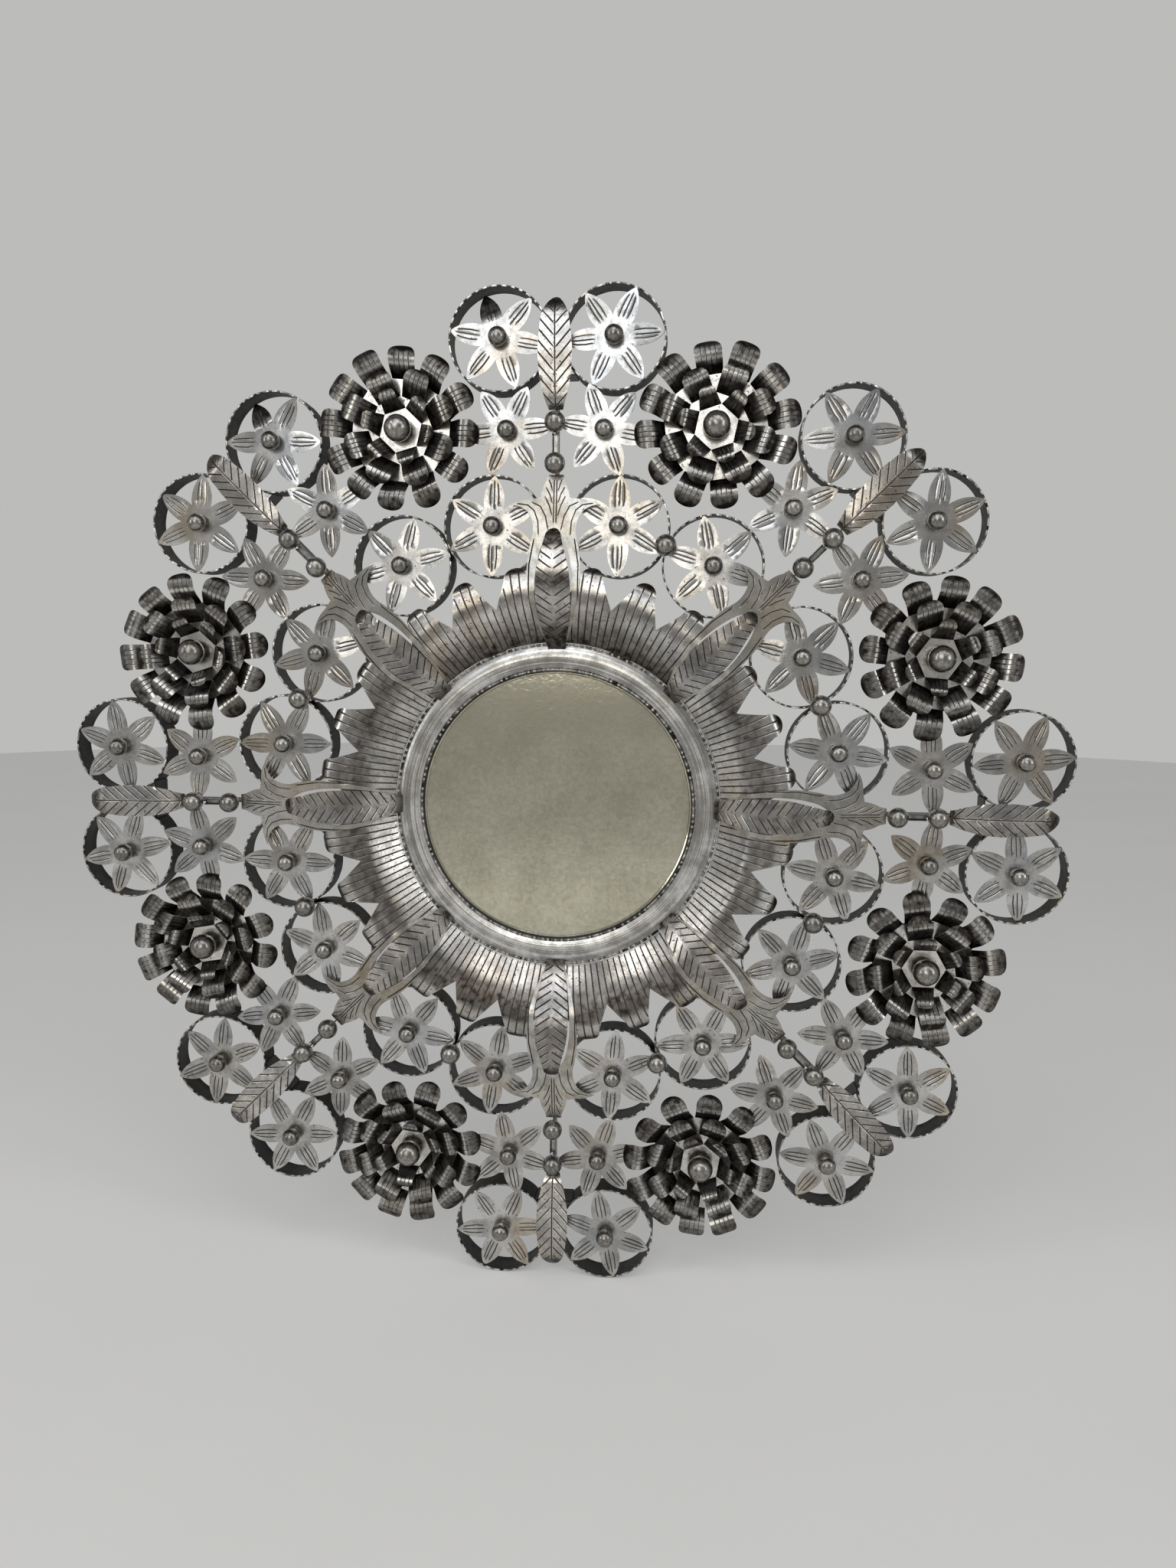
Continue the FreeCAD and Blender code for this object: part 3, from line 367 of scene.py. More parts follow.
def plain_metal(name, bright, dull, roughness, cloud_mm, metallic=1.0):
    """Smooth metal, tone and polish in clouds of a real size, with a soot tone where the shade mark is set.
    """
    material, tree = new_material(name)
    place = add_node(tree, "TexCoord").outputs["Object"]
    own = add_node(tree, "Attribute", attribute_name="own").outputs["Fac"]
    shade = add_node(tree, "Attribute", attribute_name="shade").outputs["Fac"]
    cloud = add_node(tree, "TexNoise", {"Vector": place, "Scale": 1 / (cloud_mm * MM),
                                        "Detail": 4.0}).outputs["Fac"]
    wear = add_node(tree, "MapRange", {"Value": cloud, "From Min": 0.35, "From Max": 0.65}).outputs[0]
    tone = add_node(tree, "Mix", {"Factor_Float": wear, "A_Color": linear(bright),
                                  "B_Color": linear(dull)}, data_type="RGBA").outputs["Result"]
    value = add_node(tree, "MapRange", {"Value": own, "To Min": 0.8, "To Max": 1.2}).outputs[0]
    tone = add_node(tree, "HueSaturation", {"Color": tone, "Value": value}).outputs[0]
    tone = add_node(tree, "Mix", {"Factor_Float": shade, "A_Color": tone, "B_Color": linear(SOOT_AND_NICK_SHADE)},
                    data_type="RGBA").outputs["Result"]
    rough = add_node(tree, "MapRange", {"Value": cloud, "To Min": roughness - 0.06,
                                        "To Max": roughness + 0.06}).outputs[0]
    shader = add_node(tree, "BsdfPrincipled", {"Base Color": tone, "Metallic": metallic,
                                               "Roughness": rough})
    add_node(tree, "OutputMaterial", {"Surface": shader.outputs[0]})
    return material


smoked_ball_steel = plain_metal("smoked_polished_steel_balls", "#a19e99", "#75726d", 0.27, 3)
filed_edge_steel = plain_metal("filed_steel_edge", "#ebe8e3", "#c2bfb9", 0.24, 4, metallic=0.6)
nicked_wire_steel = plain_metal("nicked_steel_wire", "#dedbd6", "#b0ada7", 0.26, 4, metallic=0.7)
bright_link_tin = plain_metal("bright_folded_tin_links", "#b9b7b4", "#8b8986", 0.25, 5)
print("steel finishes:", smoked_ball_steel.name, filed_edge_steel.name, nicked_wire_steel.name)

# %% [markdown]
# The mirror is float glass, silvered at the back long ago. A clean mirror would be a metal with no
# roughness. This one has turned milky and warm, so its reflection is soft, and it is broken up in
# fine crinkled patches. The board behind it is pressed wood fibre, brown and matt.

# %% Glass and board
HAZE_MM = 45
CRINKLE_MM = 5
CRINKLE_HEIGHT_MM = 0.5
MIRROR_CLEAR, MIRROR_MILKY = "#cbc7b4", "#b0ac99"
FIBRE_MM = 2
FIBRE_DARK, FIBRE_PALE = "#6b4f33", "#8d6d4a"


def aged_mirror():
    """Silvered float glass, old: a warm reflection, a little milky, in fine crinkled patches."""
    material, tree = new_material("silvered_float_glass")
    place = add_node(tree, "TexCoord").outputs["Object"]
    cloud = add_node(tree, "TexNoise", {"Vector": place, "Scale": 1 / (HAZE_MM * MM),
                                        "Detail": 5.0}).outputs["Fac"]
    crinkle = add_node(tree, "TexNoise", {"Vector": place, "Scale": 1 / (CRINKLE_MM * MM), "Detail": 3.0,
                                          "Distortion": 0.8}).outputs["Fac"]
    haze = add_node(tree, "Math", {"Value": cloud, "Value_001": crinkle}, operation="ADD").outputs[0]
    haze = add_node(tree, "MapRange", {"Value": haze, "From Min": 0.75, "From Max": 1.25}).outputs[0]
    tone = add_node(tree, "Mix", {"Factor_Float": haze, "A_Color": linear(MIRROR_CLEAR),
                                  "B_Color": linear(MIRROR_MILKY)}, data_type="RGBA").outputs["Result"]
    rough = add_node(tree, "MapRange", {"Value": haze, "To Min": 0.07, "To Max": 0.14}).outputs[0]
    bump = add_node(tree, "Bump", {"Height": crinkle, "Strength": 0.12,
                                   "Distance": CRINKLE_HEIGHT_MM * MM}).outputs[0]
    shader = add_node(tree, "BsdfPrincipled", {"Base Color": tone, "Metallic": 0.82, "Roughness": rough,
                                               "Normal": bump})
    add_node(tree, "OutputMaterial", {"Surface": shader.outputs[0]})
    return material


def raw_hardboard():
    """Pressed wood fibre: brown and matt, with short fibres."""
    material, tree = new_material("raw_hardboard")
    place = add_node(tree, "TexCoord").outputs["Object"]
    fibre = add_node(tree, "TexNoise", {"Vector": place, "Scale": 1 / (FIBRE_MM * MM),
                                        "Detail": 4.0}).outputs["Fac"]
    tone = add_node(tree, "Mix", {"Factor_Float": fibre, "A_Color": linear(FIBRE_DARK),
                                  "B_Color": linear(FIBRE_PALE)}, data_type="RGBA").outputs["Result"]
    shader = add_node(tree, "BsdfPrincipled", {"Base Color": tone, "Roughness": 0.8})
    add_node(tree, "OutputMaterial", {"Surface": shader.outputs[0]})
    return material


mirror_silver = aged_mirror()
hardboard = raw_hardboard()
print("other finishes:", mirror_silver.name, hardboard.name)

# %% [markdown]
# ## Cutting a sheet
# A tinsmith draws an outline with straight cuts and compass arcs. The same way of writing it down
# serves here: a list of (across, along) points, where a third entry marks the middle of an arc.

# %% Trace an outline
def arc_points(start, middle, end, step):
    """Points after start, about step apart, on the circle through three points."""
    near, far = middle - start, end - start
    cross = 2 * (near[0] * far[1] - near[1] * far[0])
    near_square, far_square = near @ near, far @ far
    centre = start + np.array([far[1] * near_square - near[1] * far_square,
                               near[0] * far_square - far[0] * near_square]) / cross
    radius = np.linalg.norm(start - centre)
    first = math.atan2(*(start - centre)[::-1])
    last = math.atan2(*(end - centre)[::-1])
    way = math.copysign(1, cross)
    sweep = way * ((way * (last - first)) % math.tau)
    count = max(2, round(abs(sweep) * radius / step))
    turns = first + sweep * np.arange(1, count + 1) / count
    return centre + radius * np.stack([np.cos(turns), np.sin(turns)], axis=1)


def traced(path, step):
    """Points along straight runs and arcs; a third entry in a point marks the middle of an arc."""
    corners = [place for place, spot in enumerate(path) if len(spot) == 2]
    line = [np.array(path[corners[0]], float)]
    for first, second in zip(corners, corners[1:]):
        start, end = np.array(path[first], float), np.array(path[second], float)
        if second - first == 2:
            line.extend(arc_points(start, np.array(path[first + 1][:2], float), end, step))
        else:
            count = max(1, round(np.linalg.norm(end - start) / step))
            line.extend(start + (end - start) * share / count for share in range(1, count + 1))
    return np.array(line)


def both_sides(side):
    """Close a half outline, traced from root to tip, with its mirror image."""
    other = side[::-1] * (-1, 1)
    if abs(side[-1][0]) < 1e-6:
        other = other[1:]
    if abs(side[0][0]) < 1e-6:
        other = other[:-1]
    return np.vstack([side, other])


print("a quarter circle of 10 mm gives", len(traced([(10, 0), (7.07, 7.07, "arc"), (0, 10)], 2)), "points")

# %% [markdown]
# A chased line is a shallow V pressed into the sheet. To show as real shape it needs points along
# its bottom and along both banks, so these go into a constrained triangulation with the outline.
# How deep a point lies follows from its distance to the nearest line, and a line fades out over a
# few millimetres at each end.

# %% Chase lines into a flat sheet
FADE_MM = 3.0
# Points of a line keep this far from the sheet's edge
EDGE_CLEAR_MM = 0.2
# Loose points between the lines: height of a row of triangles, and how far the points keep from the
# edge and from a line, all as shares of their spacing
ROW_SHARE, EDGE_SHARE, LINE_SHARE = 0.87, 0.45, 0.3
# Points closer than this are one point, and nothing is divided by less than the smallest length
SAME_POINT_MM = 1e-4
SMALLEST = 1e-12


def inside(points, outline):
    """Which points lie inside a closed outline."""
    x, y = points[:, :1], points[:, 1:]
    ends = np.roll(outline, -1, axis=0)
    rise = ends[:, 1] - outline[:, 1]
    rise = np.where(np.abs(rise) < SMALLEST, SMALLEST, rise)
    cut = outline[:, 0] + (y - outline[:, 1]) * (ends[:, 0] - outline[:, 0]) / rise
    crossed = ((outline[:, 1] > y) != (ends[:, 1] > y)) & (x < cut)
    return crossed.sum(axis=1) % 2 == 1


def gaps_to(points, starts, ends):
    """Distance from each point to each segment, and how far along the segment the nearest place is."""
    run = ends - starts
    offset = points[:, None] - starts
    share = np.clip((offset * run).sum(axis=2) / np.maximum((run ** 2).sum(axis=1), SMALLEST), 0, 1)
    return np.linalg.norm(offset - share[..., None] * run, axis=2), share


def chased_sheet(outline, lines, bank, spacing, force=None):
    """Flat sheet with chased lines: points, triangles, and how deep in a line each point lies, 0 to 1."""
    spots = [outline]
    edges = [(k, (k + 1) % len(outline)) for k in range(len(outline))]
    used = len(outline)
    rim = outline, np.roll(outline, -1, axis=0)
    for line in lines:
        run = np.gradient(line, axis=0)
        run /= np.linalg.norm(run, axis=1)[:, None]
        aside = np.stack([-run[:, 1], run[:, 0]], axis=1)
        for shift in (-bank, 0, bank):
            offset = line + aside * shift
            kept = inside(offset, outline)
            kept &= gaps_to(offset, *rim)[0].min(axis=1) > EDGE_CLEAR_MM
            places = np.cumsum(kept) - 1 + used
            edges += [(places[k], places[k + 1]) for k in range(len(line) - 1) if kept[k] and kept[k + 1]]
            spots.append(offset[kept])
            used += int(kept.sum())
    starts = np.vstack([line[:-1] for line in lines])
    ends = np.vstack([line[1:] for line in lines])
    low, high = outline.min(axis=0), outline.max(axis=0)
    rows = np.arange(low[1], high[1], spacing * ROW_SHARE)
    grid = np.array([(x + spacing / 2 * (k % 2), y) for k, y in enumerate(rows)
                     for x in np.arange(low[0], high[0], spacing)])
    grid = grid[inside(grid, outline)]
    grid = grid[gaps_to(grid, *rim)[0].min(axis=1) > spacing * EDGE_SHARE]
    grid = grid[gaps_to(grid, starts, ends)[0].min(axis=1) > bank + spacing * LINE_SHARE]
    points = [Vector(p) for p in np.vstack(spots + [grid])]
    edges = [tuple(int(place) for place in edge) for edge in edges]
    cut = geometry.delaunay_2d_cdt(points, edges, [], 1, SAME_POINT_MM)
    flat, triangles = np.array([tuple(p) for p in cut[0]]), np.array(cut[2])
    triangles = triangles[inside(flat[triangles].mean(axis=1), outline)]
    used_points, triangles = np.unique(triangles, return_inverse=True)
    flat, triangles = flat[used_points], triangles.reshape(-1, 3)
    corner = flat[triangles]
    turn = np.cross(corner[:, 1] - corner[:, 0], corner[:, 2] - corner[:, 0])
    triangles[turn < 0] = triangles[turn < 0][:, ::-1]
    depth = np.zeros(len(flat))
    for line, hit in zip(lines, force or [1.0] * len(lines)):
        walk = np.concatenate([[0], np.cumsum(np.linalg.norm(np.diff(line, axis=0), axis=1))])
        fade = np.clip(np.minimum(walk, walk[-1] - walk) / FADE_MM, 0, 1)
        gap, share = gaps_to(flat, line[:-1], line[1:])
        strength = fade[:-1] + (fade[1:] - fade[:-1]) * share
        depth = np.maximum(depth, ((1 - gap / bank) * strength).max(axis=1) * hit)
    return flat, triangles, np.clip(depth, 0, 1)


print("chased lines fade over", FADE_MM, "mm")

# %% [markdown]
# ## Bending a sheet
# Every bent piece follows one front line, from its root outwards and up from the wall. A curve
# modifier could bend it, but would stretch the sheet where the curl is tight. Here the flat sheet is
# laid along the line by its length, as real tin bends, and can even curl back under itself. A
# collar sheet is bent round the mirror's axis as well.

# %% Bend along a line
LINE_STEP_MM = 0.8


def bent_line(front):
    """Length along a front line of (reach, height) points, with its places and its directions."""
    line = traced(front, LINE_STEP_MM)
    length = np.concatenate([[0], np.cumsum(np.linalg.norm(np.diff(line, axis=0), axis=1))])
    way = np.gradient(line, length, axis=0)
    way /= np.linalg.norm(way, axis=1)[:, None]
    return length, line, way


def reach_to_length(line, outline):
    """Turn an outline drawn as seen from the front into one along the sheet."""
    length, spots, _way = line
    out = outline.copy()
    out[:, 1] = np.interp(outline[:, 1], spots[:, 0], length)
    return out


def laid_along(line, flat, sink, ring=None):
    """Bend flat points along a line, sunk below its face; ring is the radius a collar was drawn at."""
    length, spots, way = line
    reach, height = (np.interp(flat[:, 1], length, spots[:, k]) for k in (0, 1))
    out, up = (np.interp(flat[:, 1], length, way[:, k]) for k in (0, 1))
    out, up = -up, out
    reach, height = reach - sink * out, height - sink * up
    if ring is None:
        return np.stack([flat[:, 0], -height, reach], axis=1), np.stack([0 * out, -up, out], axis=1)
    turn = flat[:, 0] / ring
    points = np.stack([reach * np.sin(turn), -height, reach * np.cos(turn)], axis=1)
    return points, np.stack([out * np.sin(turn), -up, out * np.cos(turn)], axis=1)


def closed_shell(front, facing, triangles, thickness):
    """Front skin, back skin one thickness behind, and the cut edge between them."""
    count = len(front)
    pairs = np.vstack([triangles[:, (0, 1)], triangles[:, (1, 2)], triangles[:, (2, 0)]])
    code, back_code = pairs[:, 0] * count + pairs[:, 1], pairs[:, 1] * count + pairs[:, 0]
    free = pairs[~np.isin(code, back_code)]
    edge = np.vstack([np.stack([free[:, 1], free[:, 0], free[:, 0] + count], axis=1),
                      np.stack([free[:, 1], free[:, 0] + count, free[:, 1] + count], axis=1)])
    faces = np.vstack([triangles, triangles[:, ::-1] + count, edge])
    return np.vstack([front, front - facing * thickness]), faces


def bent_shell(sheet, line, sink, ring=None):
    """Lay a flat sheet along a line and give it its thickness."""
    flat, triangles, _depth = sheet
    points, facing = laid_along(line, flat, sink, ring)
    return closed_shell(points, facing, triangles, TIN)


print("front lines are cut every", LINE_STEP_MM, "mm")

# %% [markdown]
# ## Placing copies
# The mirror repeats eight times and holds nearly two hundred small parts. Each kind is built once
# as plain arrays, copied to its places, varied a little, and joined in one mesh for each node of
# the solid model. That is far quicker than hundreds of Blender objects.

# %% Place and join copies
SHARP_TURN = math.radians(22)


def turned(points, degrees):
    """Turn points clockwise round the mirror's axis, as seen from the front."""
    angle = math.radians(degrees)
    across, up = points[:, 0], points[:, 2]
    return np.stack([across * math.cos(angle) + up * math.sin(angle), points[:, 1],
                     up * math.cos(angle) - across * math.sin(angle)], axis=1)


def polar(radius, degrees, front=0.0):
    """A place at a radius and a clockwise angle from the top, a distance in front of the wall."""
    angle = math.radians(degrees)
    return np.array([radius * math.sin(angle), -front, radius * math.cos(angle)])


def make_piece(name, copies, material, slot, *nodes, sharp=SHARP_TURN):
    """Join copies of (points, faces, marks) in one object that stands for nodes of the solid model."""
    points, faces, marks, used = [], [], {}, 0
    for spots, sides, values in copies:
        points.append(spots)
        if isinstance(sides, np.ndarray):
            faces.extend((sides + used).tolist())
        else:
            faces.extend([[corner + used for corner in side] for side in sides])
        for mark in ("groove", "shade", "own"):
            value = np.broadcast_to(values.get(mark, 0.0), len(spots))
            marks.setdefault(mark, []).append(value)
        used += len(spots)
    mesh = bpy.data.meshes.new(name)
    mesh.from_pydata((np.vstack(points) * MM).tolist(), [], faces)
    for mark, values in marks.items():
        layer = mesh.attributes.new(mark, "FLOAT", "POINT")
        layer.data.foreach_set("value", np.concatenate(values).astype(np.float32))
    mesh.shade_smooth()
    mesh.set_sharp_from_angle(angle=sharp)
    mesh.materials.append(material)
    piece = bpy.data.objects.new(name, mesh)
    bpy.context.scene.collection.objects.link(piece)
    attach(piece, "root")
    if nodes:
        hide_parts(*nodes)
    print("%-22s %6d points %6d faces" % (name, len(mesh.vertices), len(mesh.polygons)))
    return piece


def sheet_marks(depth, shade, own):
    """Marks of a closed shell: the back skin keeps only a trace of the chased lines."""
    return {"groove": np.concatenate([depth, depth * 0.25]), "shade": np.tile(shade, 2), "own": own}


def shade_along(share, profile):
    """Patina at shares of a sheet's length, from a profile of (share, patina)."""
    return np.interp(share, *zip(*profile))


print("edges sharper than", round(math.degrees(SHARP_TURN)), "degrees stay crisp")

# %% [markdown]
# ## Sizes of the mirror
# These repeat the driving sizes of the solid model, so that every detailed piece lies on its solid.
# Heights are measured from the wall towards the viewer.

# %% Sizes
AXES = 8
AXIS_TURN = 360 / AXES
TIN = 0.7
STRIP_DEPTH = 25.0
HOOP_RADIUS = 48.5
COLLAR_ROOT, COLLAR_SPAN, COLLAR_BASE, COLLAR_RISE = 162.4, 73.6, 14.7, 28.0
COLLAR_VALLEY, COLLAR_TIP = 200.0, 236.0
ARM_BASE = 16.2
STRUT_SEAT = 26.0
ROW_RADII = {"inner": 279.0, "middle": 363.5, "outer": 448.0}
ROW_TURNS = {"inner": 12.4585, "middle": 7.2716, "outer": 6.9678}
ROSETTE_RADIUS = 392.6


def front_of(root, span, base, rise, shares):
    """Front line from shares of its span outwards and of its rise."""
    return [(root + span * out, base + rise * up) + tuple(mark) for out, up, *mark in shares]


def outline_of(root, length, half_width, shares):
    """Half outline from shares of the half width and of the length."""
    return [(half_width * wide, root + length * far) + tuple(mark) for wide, far, *mark in shares]


def row_places(row):
    """Polar angles of a row: left and right of each axis."""
    turns = []
    for axis in range(AXES):
        turns += [AXIS_TURN * axis - ROW_TURNS[row], AXIS_TURN * axis + ROW_TURNS[row]]
    return turns


print("rows at", ROW_RADII)

# %% [markdown]
# ## Flowers
# Forty-eight flowers with six pointed petals fill the hoops and the row between them. Each was cut
# from a disc, and three lines were chased into each petal, from near the middle to the tip. The
# middle stays plain under its ball. One flower copied 48 times would look stamped, so three sheets
# with differently struck lines are cut of each size.

# %% Flower sheet
PETALS = 6
PETAL_TURN = 360 / PETALS
PETAL_HALF_WIDTH = 9.9
NOTCH_RADIUS = 19.0
HOOP_FLOWER_REACH = 47.2
MIDDLE_FLOWER_REACH = 44.3
FLOWER_SHEETS = 3
FLOWER_LINE_BANK = 0.95
FLOWER_LINE_DEPTH = 0.45


def flower_sheet(reach):
    """Flat flower with its chased lines, one petal pointing up; no two lines are struck alike."""
    half = math.radians(PETAL_TURN / 2)
    notch = (NOTCH_RADIUS * math.sin(half), NOTCH_RADIUS * math.cos(half))
    side = traced([notch, (PETAL_HALF_WIDTH, reach * 0.58, "arc"), (0.4, reach)], step=2.2)
    petal = np.vstack([side[1:], side[:0:-1] * (-1, 1), [(-notch[0], notch[1])]])
    outline, lines, force = [], [], []
    for number in range(PETALS):
        angle = -2 * half * number
        spin = np.array([[math.cos(angle), -math.sin(angle)], [math.sin(angle), math.cos(angle)]])
        outline.append(petal @ spin.T)
        for way in (-1, 0, 1):
            near, wide = 0.36 + chance.normal(0, 0.02), way + chance.normal(0, 0.08)
            shares = [(0.37 * wide, near), (0.43 * wide, 0.58), (0.37 * wide, 0.76),
                      (0.25 * wide, 0.93 - 0.05 * abs(way))]
            spots = traced(outline_of(0, reach, PETAL_HALF_WIDTH, shares), step=2.4)
            lines.append(spots @ spin.T)
            force.append(chance.uniform(0.65, 1.0))
    outline = np.vstack(outline[::-1])
    return chased_sheet(outline, lines, FLOWER_LINE_BANK, spacing=4.2, force=force)


hoop_flower_sheets = [flower_sheet(HOOP_FLOWER_REACH) for _ in range(FLOWER_SHEETS)]
middle_flower_sheets = [flower_sheet(MIDDLE_FLOWER_REACH) for _ in range(FLOWER_SHEETS)]
print("flower sheet:", len(hoop_flower_sheets[0][0]), "points", len(hoop_flower_sheets[0][1]), "triangles")

# %% [markdown]
# A flower is soldered on by its middle, so each petal can be bent from a hinge line close to it.
# The petals are a little crowned and no two lie quite flat, which makes them catch the light one by
# one. Their small bends and twists come by chance, and a few were knocked out of line long ago. The
# flowers are turned as the photograph shows.

# %% Bend and place the flowers
FLOWER_TURNS = {
    "inner": [2, 2, 48, 45, 38, 42, 16, 26, 4, 9, 40, 50, 32, 30, 15, 15],
    "middle": [25, 40, 7, 23, 56, 8, 33, 40, 18, 49, 4, 24, 49, 6, 33, 57],
    "outer": [40, 25, 26, 6, 24, 55, 57, 38, 49, 24, 28, 8, 18, 50, 6, 30],
}
FLOWER_BACKS = {"inner": 24.0, "middle": 25.0, "outer": 24.0}
# Petals that were knocked out of line: row, flower, petal, bend in degrees, and painted shade, dark
# on the petals bent back, as the dark that they reflect
KNOCKED_PETALS = {("outer", 0, 5): (-24, 0.88), ("outer", 15, 5): (-26, 0.85), ("middle", 7, 5): (-16, 0.2),
                  ("outer", 11, 4): (9, 0.0), ("middle", 11, 3): (8, 0.0)}
HINGE_SHARE = 0.38
CROWN_MM = 0.35
# How far the petals differ, in degrees
BEND_SPREAD, TWIST_SPREAD = 2.6, 3.5


def bent_flower(sheet, reach, row, index):
    """One flower with its own petal bends: closed points, faces and marks."""
    flat, triangles, depth = sheet
    across, along = flat[:, 0], flat[:, 1]
    height = np.full(len(flat), TIN) - depth * FLOWER_LINE_DEPTH
    points = np.stack([across, -height, along], axis=1)
    shade = np.zeros(len(flat))
    number = np.round(np.degrees(np.arctan2(across, along)) / PETAL_TURN) % PETALS
    hinge = reach * HINGE_SHARE
    for petal in range(PETALS):
        bend, patina_and_shade = KNOCKED_PETALS.get((row, index, petal), (chance.normal(0, BEND_SPREAD), 0.0))
        twist = math.radians(chance.normal(0, TWIST_SPREAD))
        heading = math.radians(PETAL_TURN * petal)
        way = np.array([math.sin(heading), 0, math.cos(heading)])
        aside = np.array([way[2], 0, -way[0]])
        out, side = points @ way - hinge, points @ aside
        share = np.clip(out / (reach - hinge), 0, 1)
        lift = -points[:, 1] - CROWN_MM * (side / PETAL_HALF_WIDTH) ** 2 * share + side * twist * share
        angle = math.radians(bend)
        moved = (np.outer(hinge + out * math.cos(angle) - (lift - TIN) * math.sin(angle), way)
                 + np.outer(side, aside))
        moved[:, 1] = -(out * math.sin(angle) + (lift - TIN) * math.cos(angle) + TIN)
        chosen = (number == petal) & (out > 0)
        points[chosen] = moved[chosen]
        # A knocked petal gets its painted shade, growing from its hinge
        shade[chosen] = patina_and_shade * np.clip(share[chosen] * 4, 0, 1)
    facing = np.tile([0.0, -1.0, 0.0], (len(points), 1))
    shell, faces = closed_shell(points, facing, triangles, TIN)
    return shell, faces, sheet_marks(depth, shade, chance.random())


for row, sheets, reach in (("inner", hoop_flower_sheets, HOOP_FLOWER_REACH),
                           ("middle", middle_flower_sheets, MIDDLE_FLOWER_REACH),
                           ("outer", hoop_flower_sheets, HOOP_FLOWER_REACH)):
    copies = []
    for index, (place, own_turn) in enumerate(zip(row_places(row), FLOWER_TURNS[row])):
        shell, faces, marks = bent_flower(sheets[index % FLOWER_SHEETS], reach, row, index)
        seat = polar(ROW_RADII[row], place, FLOWER_BACKS[row])
        copies.append((turned(shell, own_turn) + seat, faces, marks))
    make_piece(row + "_flowers_chased", copies, chased_flower_tin, "flower_tin", row + "_flowers")

# %% [markdown]
# ## Collar
# The ribbed sheet round the ring rises steeply, crests and curls back in round lobes. Its ribs run
# outwards, about seven millimetres apart. They could be a bump in the finish, but the collar is
# seen edge-on from the side, so they are real. Its curled tips are painted dark as shade. On the
# two segments at the top painted shade also fills the root, and on the others it lies in a belt
# below the crest; the bright and dark bands across the sheet are painted reflections.

# %% Collar segments
COLLAR_SHARES = [(0, 0), (0.375, 0.77), (0.62, 1.0, "arc"), (0.837, 0.97), (0.952, 0.81, "arc"), (1.0, 0.53)]
LOBE_PITCH = 13.2
LOBES_EACH_WAY = 2
FIRST_RIB, LAST_RIB, RIB_PITCH = -21.6, 22, 2.1
RIB_BANK = 0.9
RIB_DEPTH = 0.5
# Painted shade along the top segments, with bands of painted reflection, from the root to the tip,
# as (share of its length, shade)
COLLAR_SHADE = [(0, 0.85), (0.12, 0.7), (0.26, 0.45), (0.36, 0.05), (0.5, 0.0), (0.57, 0.4), (0.63, 0.55),
                (0.69, 0.05), (0.83, 0.0)]
# The lower six segments: painted shade in a belt below the crest and a trace at the root
LOW_COLLAR_SHADE = [(0, 0.4), (0.03, 0.0), (0.27, 0.0), (0.36, 0.55), (0.5, 0.85), (0.68, 0.75),
                    (0.74, 0.05), (0.83, 0.0)]
# The curled tip, painted dark as shade
TIP_SHADE = [(0.83, 0.0), (0.88, 0.8), (1.0, 0.92)]
# How strong each segment's painted shade is, from the right of the top axis clockwise
SEGMENT_SHADE_STRENGTH = [1.0, 0.8, 0.7, 0.9, 0.95, 0.75, 0.8, 1.0]

collar_line = bent_line(front_of(COLLAR_ROOT, COLLAR_SPAN, COLLAR_BASE, COLLAR_RISE, COLLAR_SHARES))
half_lobe = math.radians(LOBE_PITCH / 2)
flank = traced([(COLLAR_VALLEY * math.sin(half_lobe), COLLAR_VALLEY * math.cos(half_lobe)),
                (16.675, 212.0, "arc"), (11.5, 224.0), (8.05, 232.4, "arc"), (0, COLLAR_TIP)], 1.6)
flank_turn = np.degrees(np.arctan2(flank[:, 0], flank[:, 1]))[::-1]
flank_radius = np.hypot(flank[:, 0], flank[:, 1])[::-1]


def collar_edge(degrees):
    """Radius of the collar's edge at an angle from the middle of a segment."""
    off = abs((degrees + LOBE_PITCH / 2) % LOBE_PITCH - LOBE_PITCH / 2)
    return float(np.interp(off, flank_turn, flank_radius))


segment_end = AXIS_TURN / 2 - 0.1
lobes = range(-LOBES_EACH_WAY, LOBES_EACH_WAY + 1)
corners = [lobe * LOBE_PITCH + way * turn for lobe in lobes for way in (-1, 1) for turn in flank_turn]
turns = sorted({-segment_end, segment_end} | {turn for turn in corners if abs(turn) < segment_end})
edge_line = [(math.radians(turn) * COLLAR_VALLEY, collar_edge(turn)) for turn in turns]
root_line = [(math.radians(turn) * COLLAR_VALLEY, COLLAR_ROOT)
             for turn in np.linspace(-segment_end, segment_end, 45)]
collar_outline = reach_to_length(collar_line, np.array(root_line + edge_line[::-1]))
ribs = []
for turn in np.arange(FIRST_RIB, LAST_RIB, RIB_PITCH):
    last = float(np.interp(collar_edge(turn), collar_line[1][:, 0], collar_line[0])) - 2.0
    across = math.radians(turn) * COLLAR_VALLEY
    ribs.append(traced([(across, -FADE_MM), (across, last)], step=2.6))
collar_sheet = chased_sheet(collar_outline, ribs, RIB_BANK, spacing=3.6)
print("collar sheet:", len(collar_sheet[0]), "points", len(collar_sheet[1]), "triangles", len(ribs), "ribs")

for axis in range(AXES):
    flat, _triangles, depth = collar_sheet
    shell, faces = bent_shell(collar_sheet, collar_line, depth * RIB_DEPTH, ring=COLLAR_VALLEY)
    share = flat[:, 1] / collar_line[0][-1]
    profile = COLLAR_SHADE if axis in (0, AXES - 1) else LOW_COLLAR_SHADE
    shade = shade_along(share, profile) * SEGMENT_SHADE_STRENGTH[axis]
    shade = np.where(share > TIP_SHADE[0][0], shade_along(share, TIP_SHADE), shade)
    marks = sheet_marks(depth, np.clip(shade, 0, 1), chance.random())
    name = "collar_segment_%d" % (axis + 1)
    make_piece(name + "_ribbed", [(turned(shell, AXIS_TURN * (axis + 0.5)), faces, marks)],
               ribbed_collar_tin, "collar_tin", name)

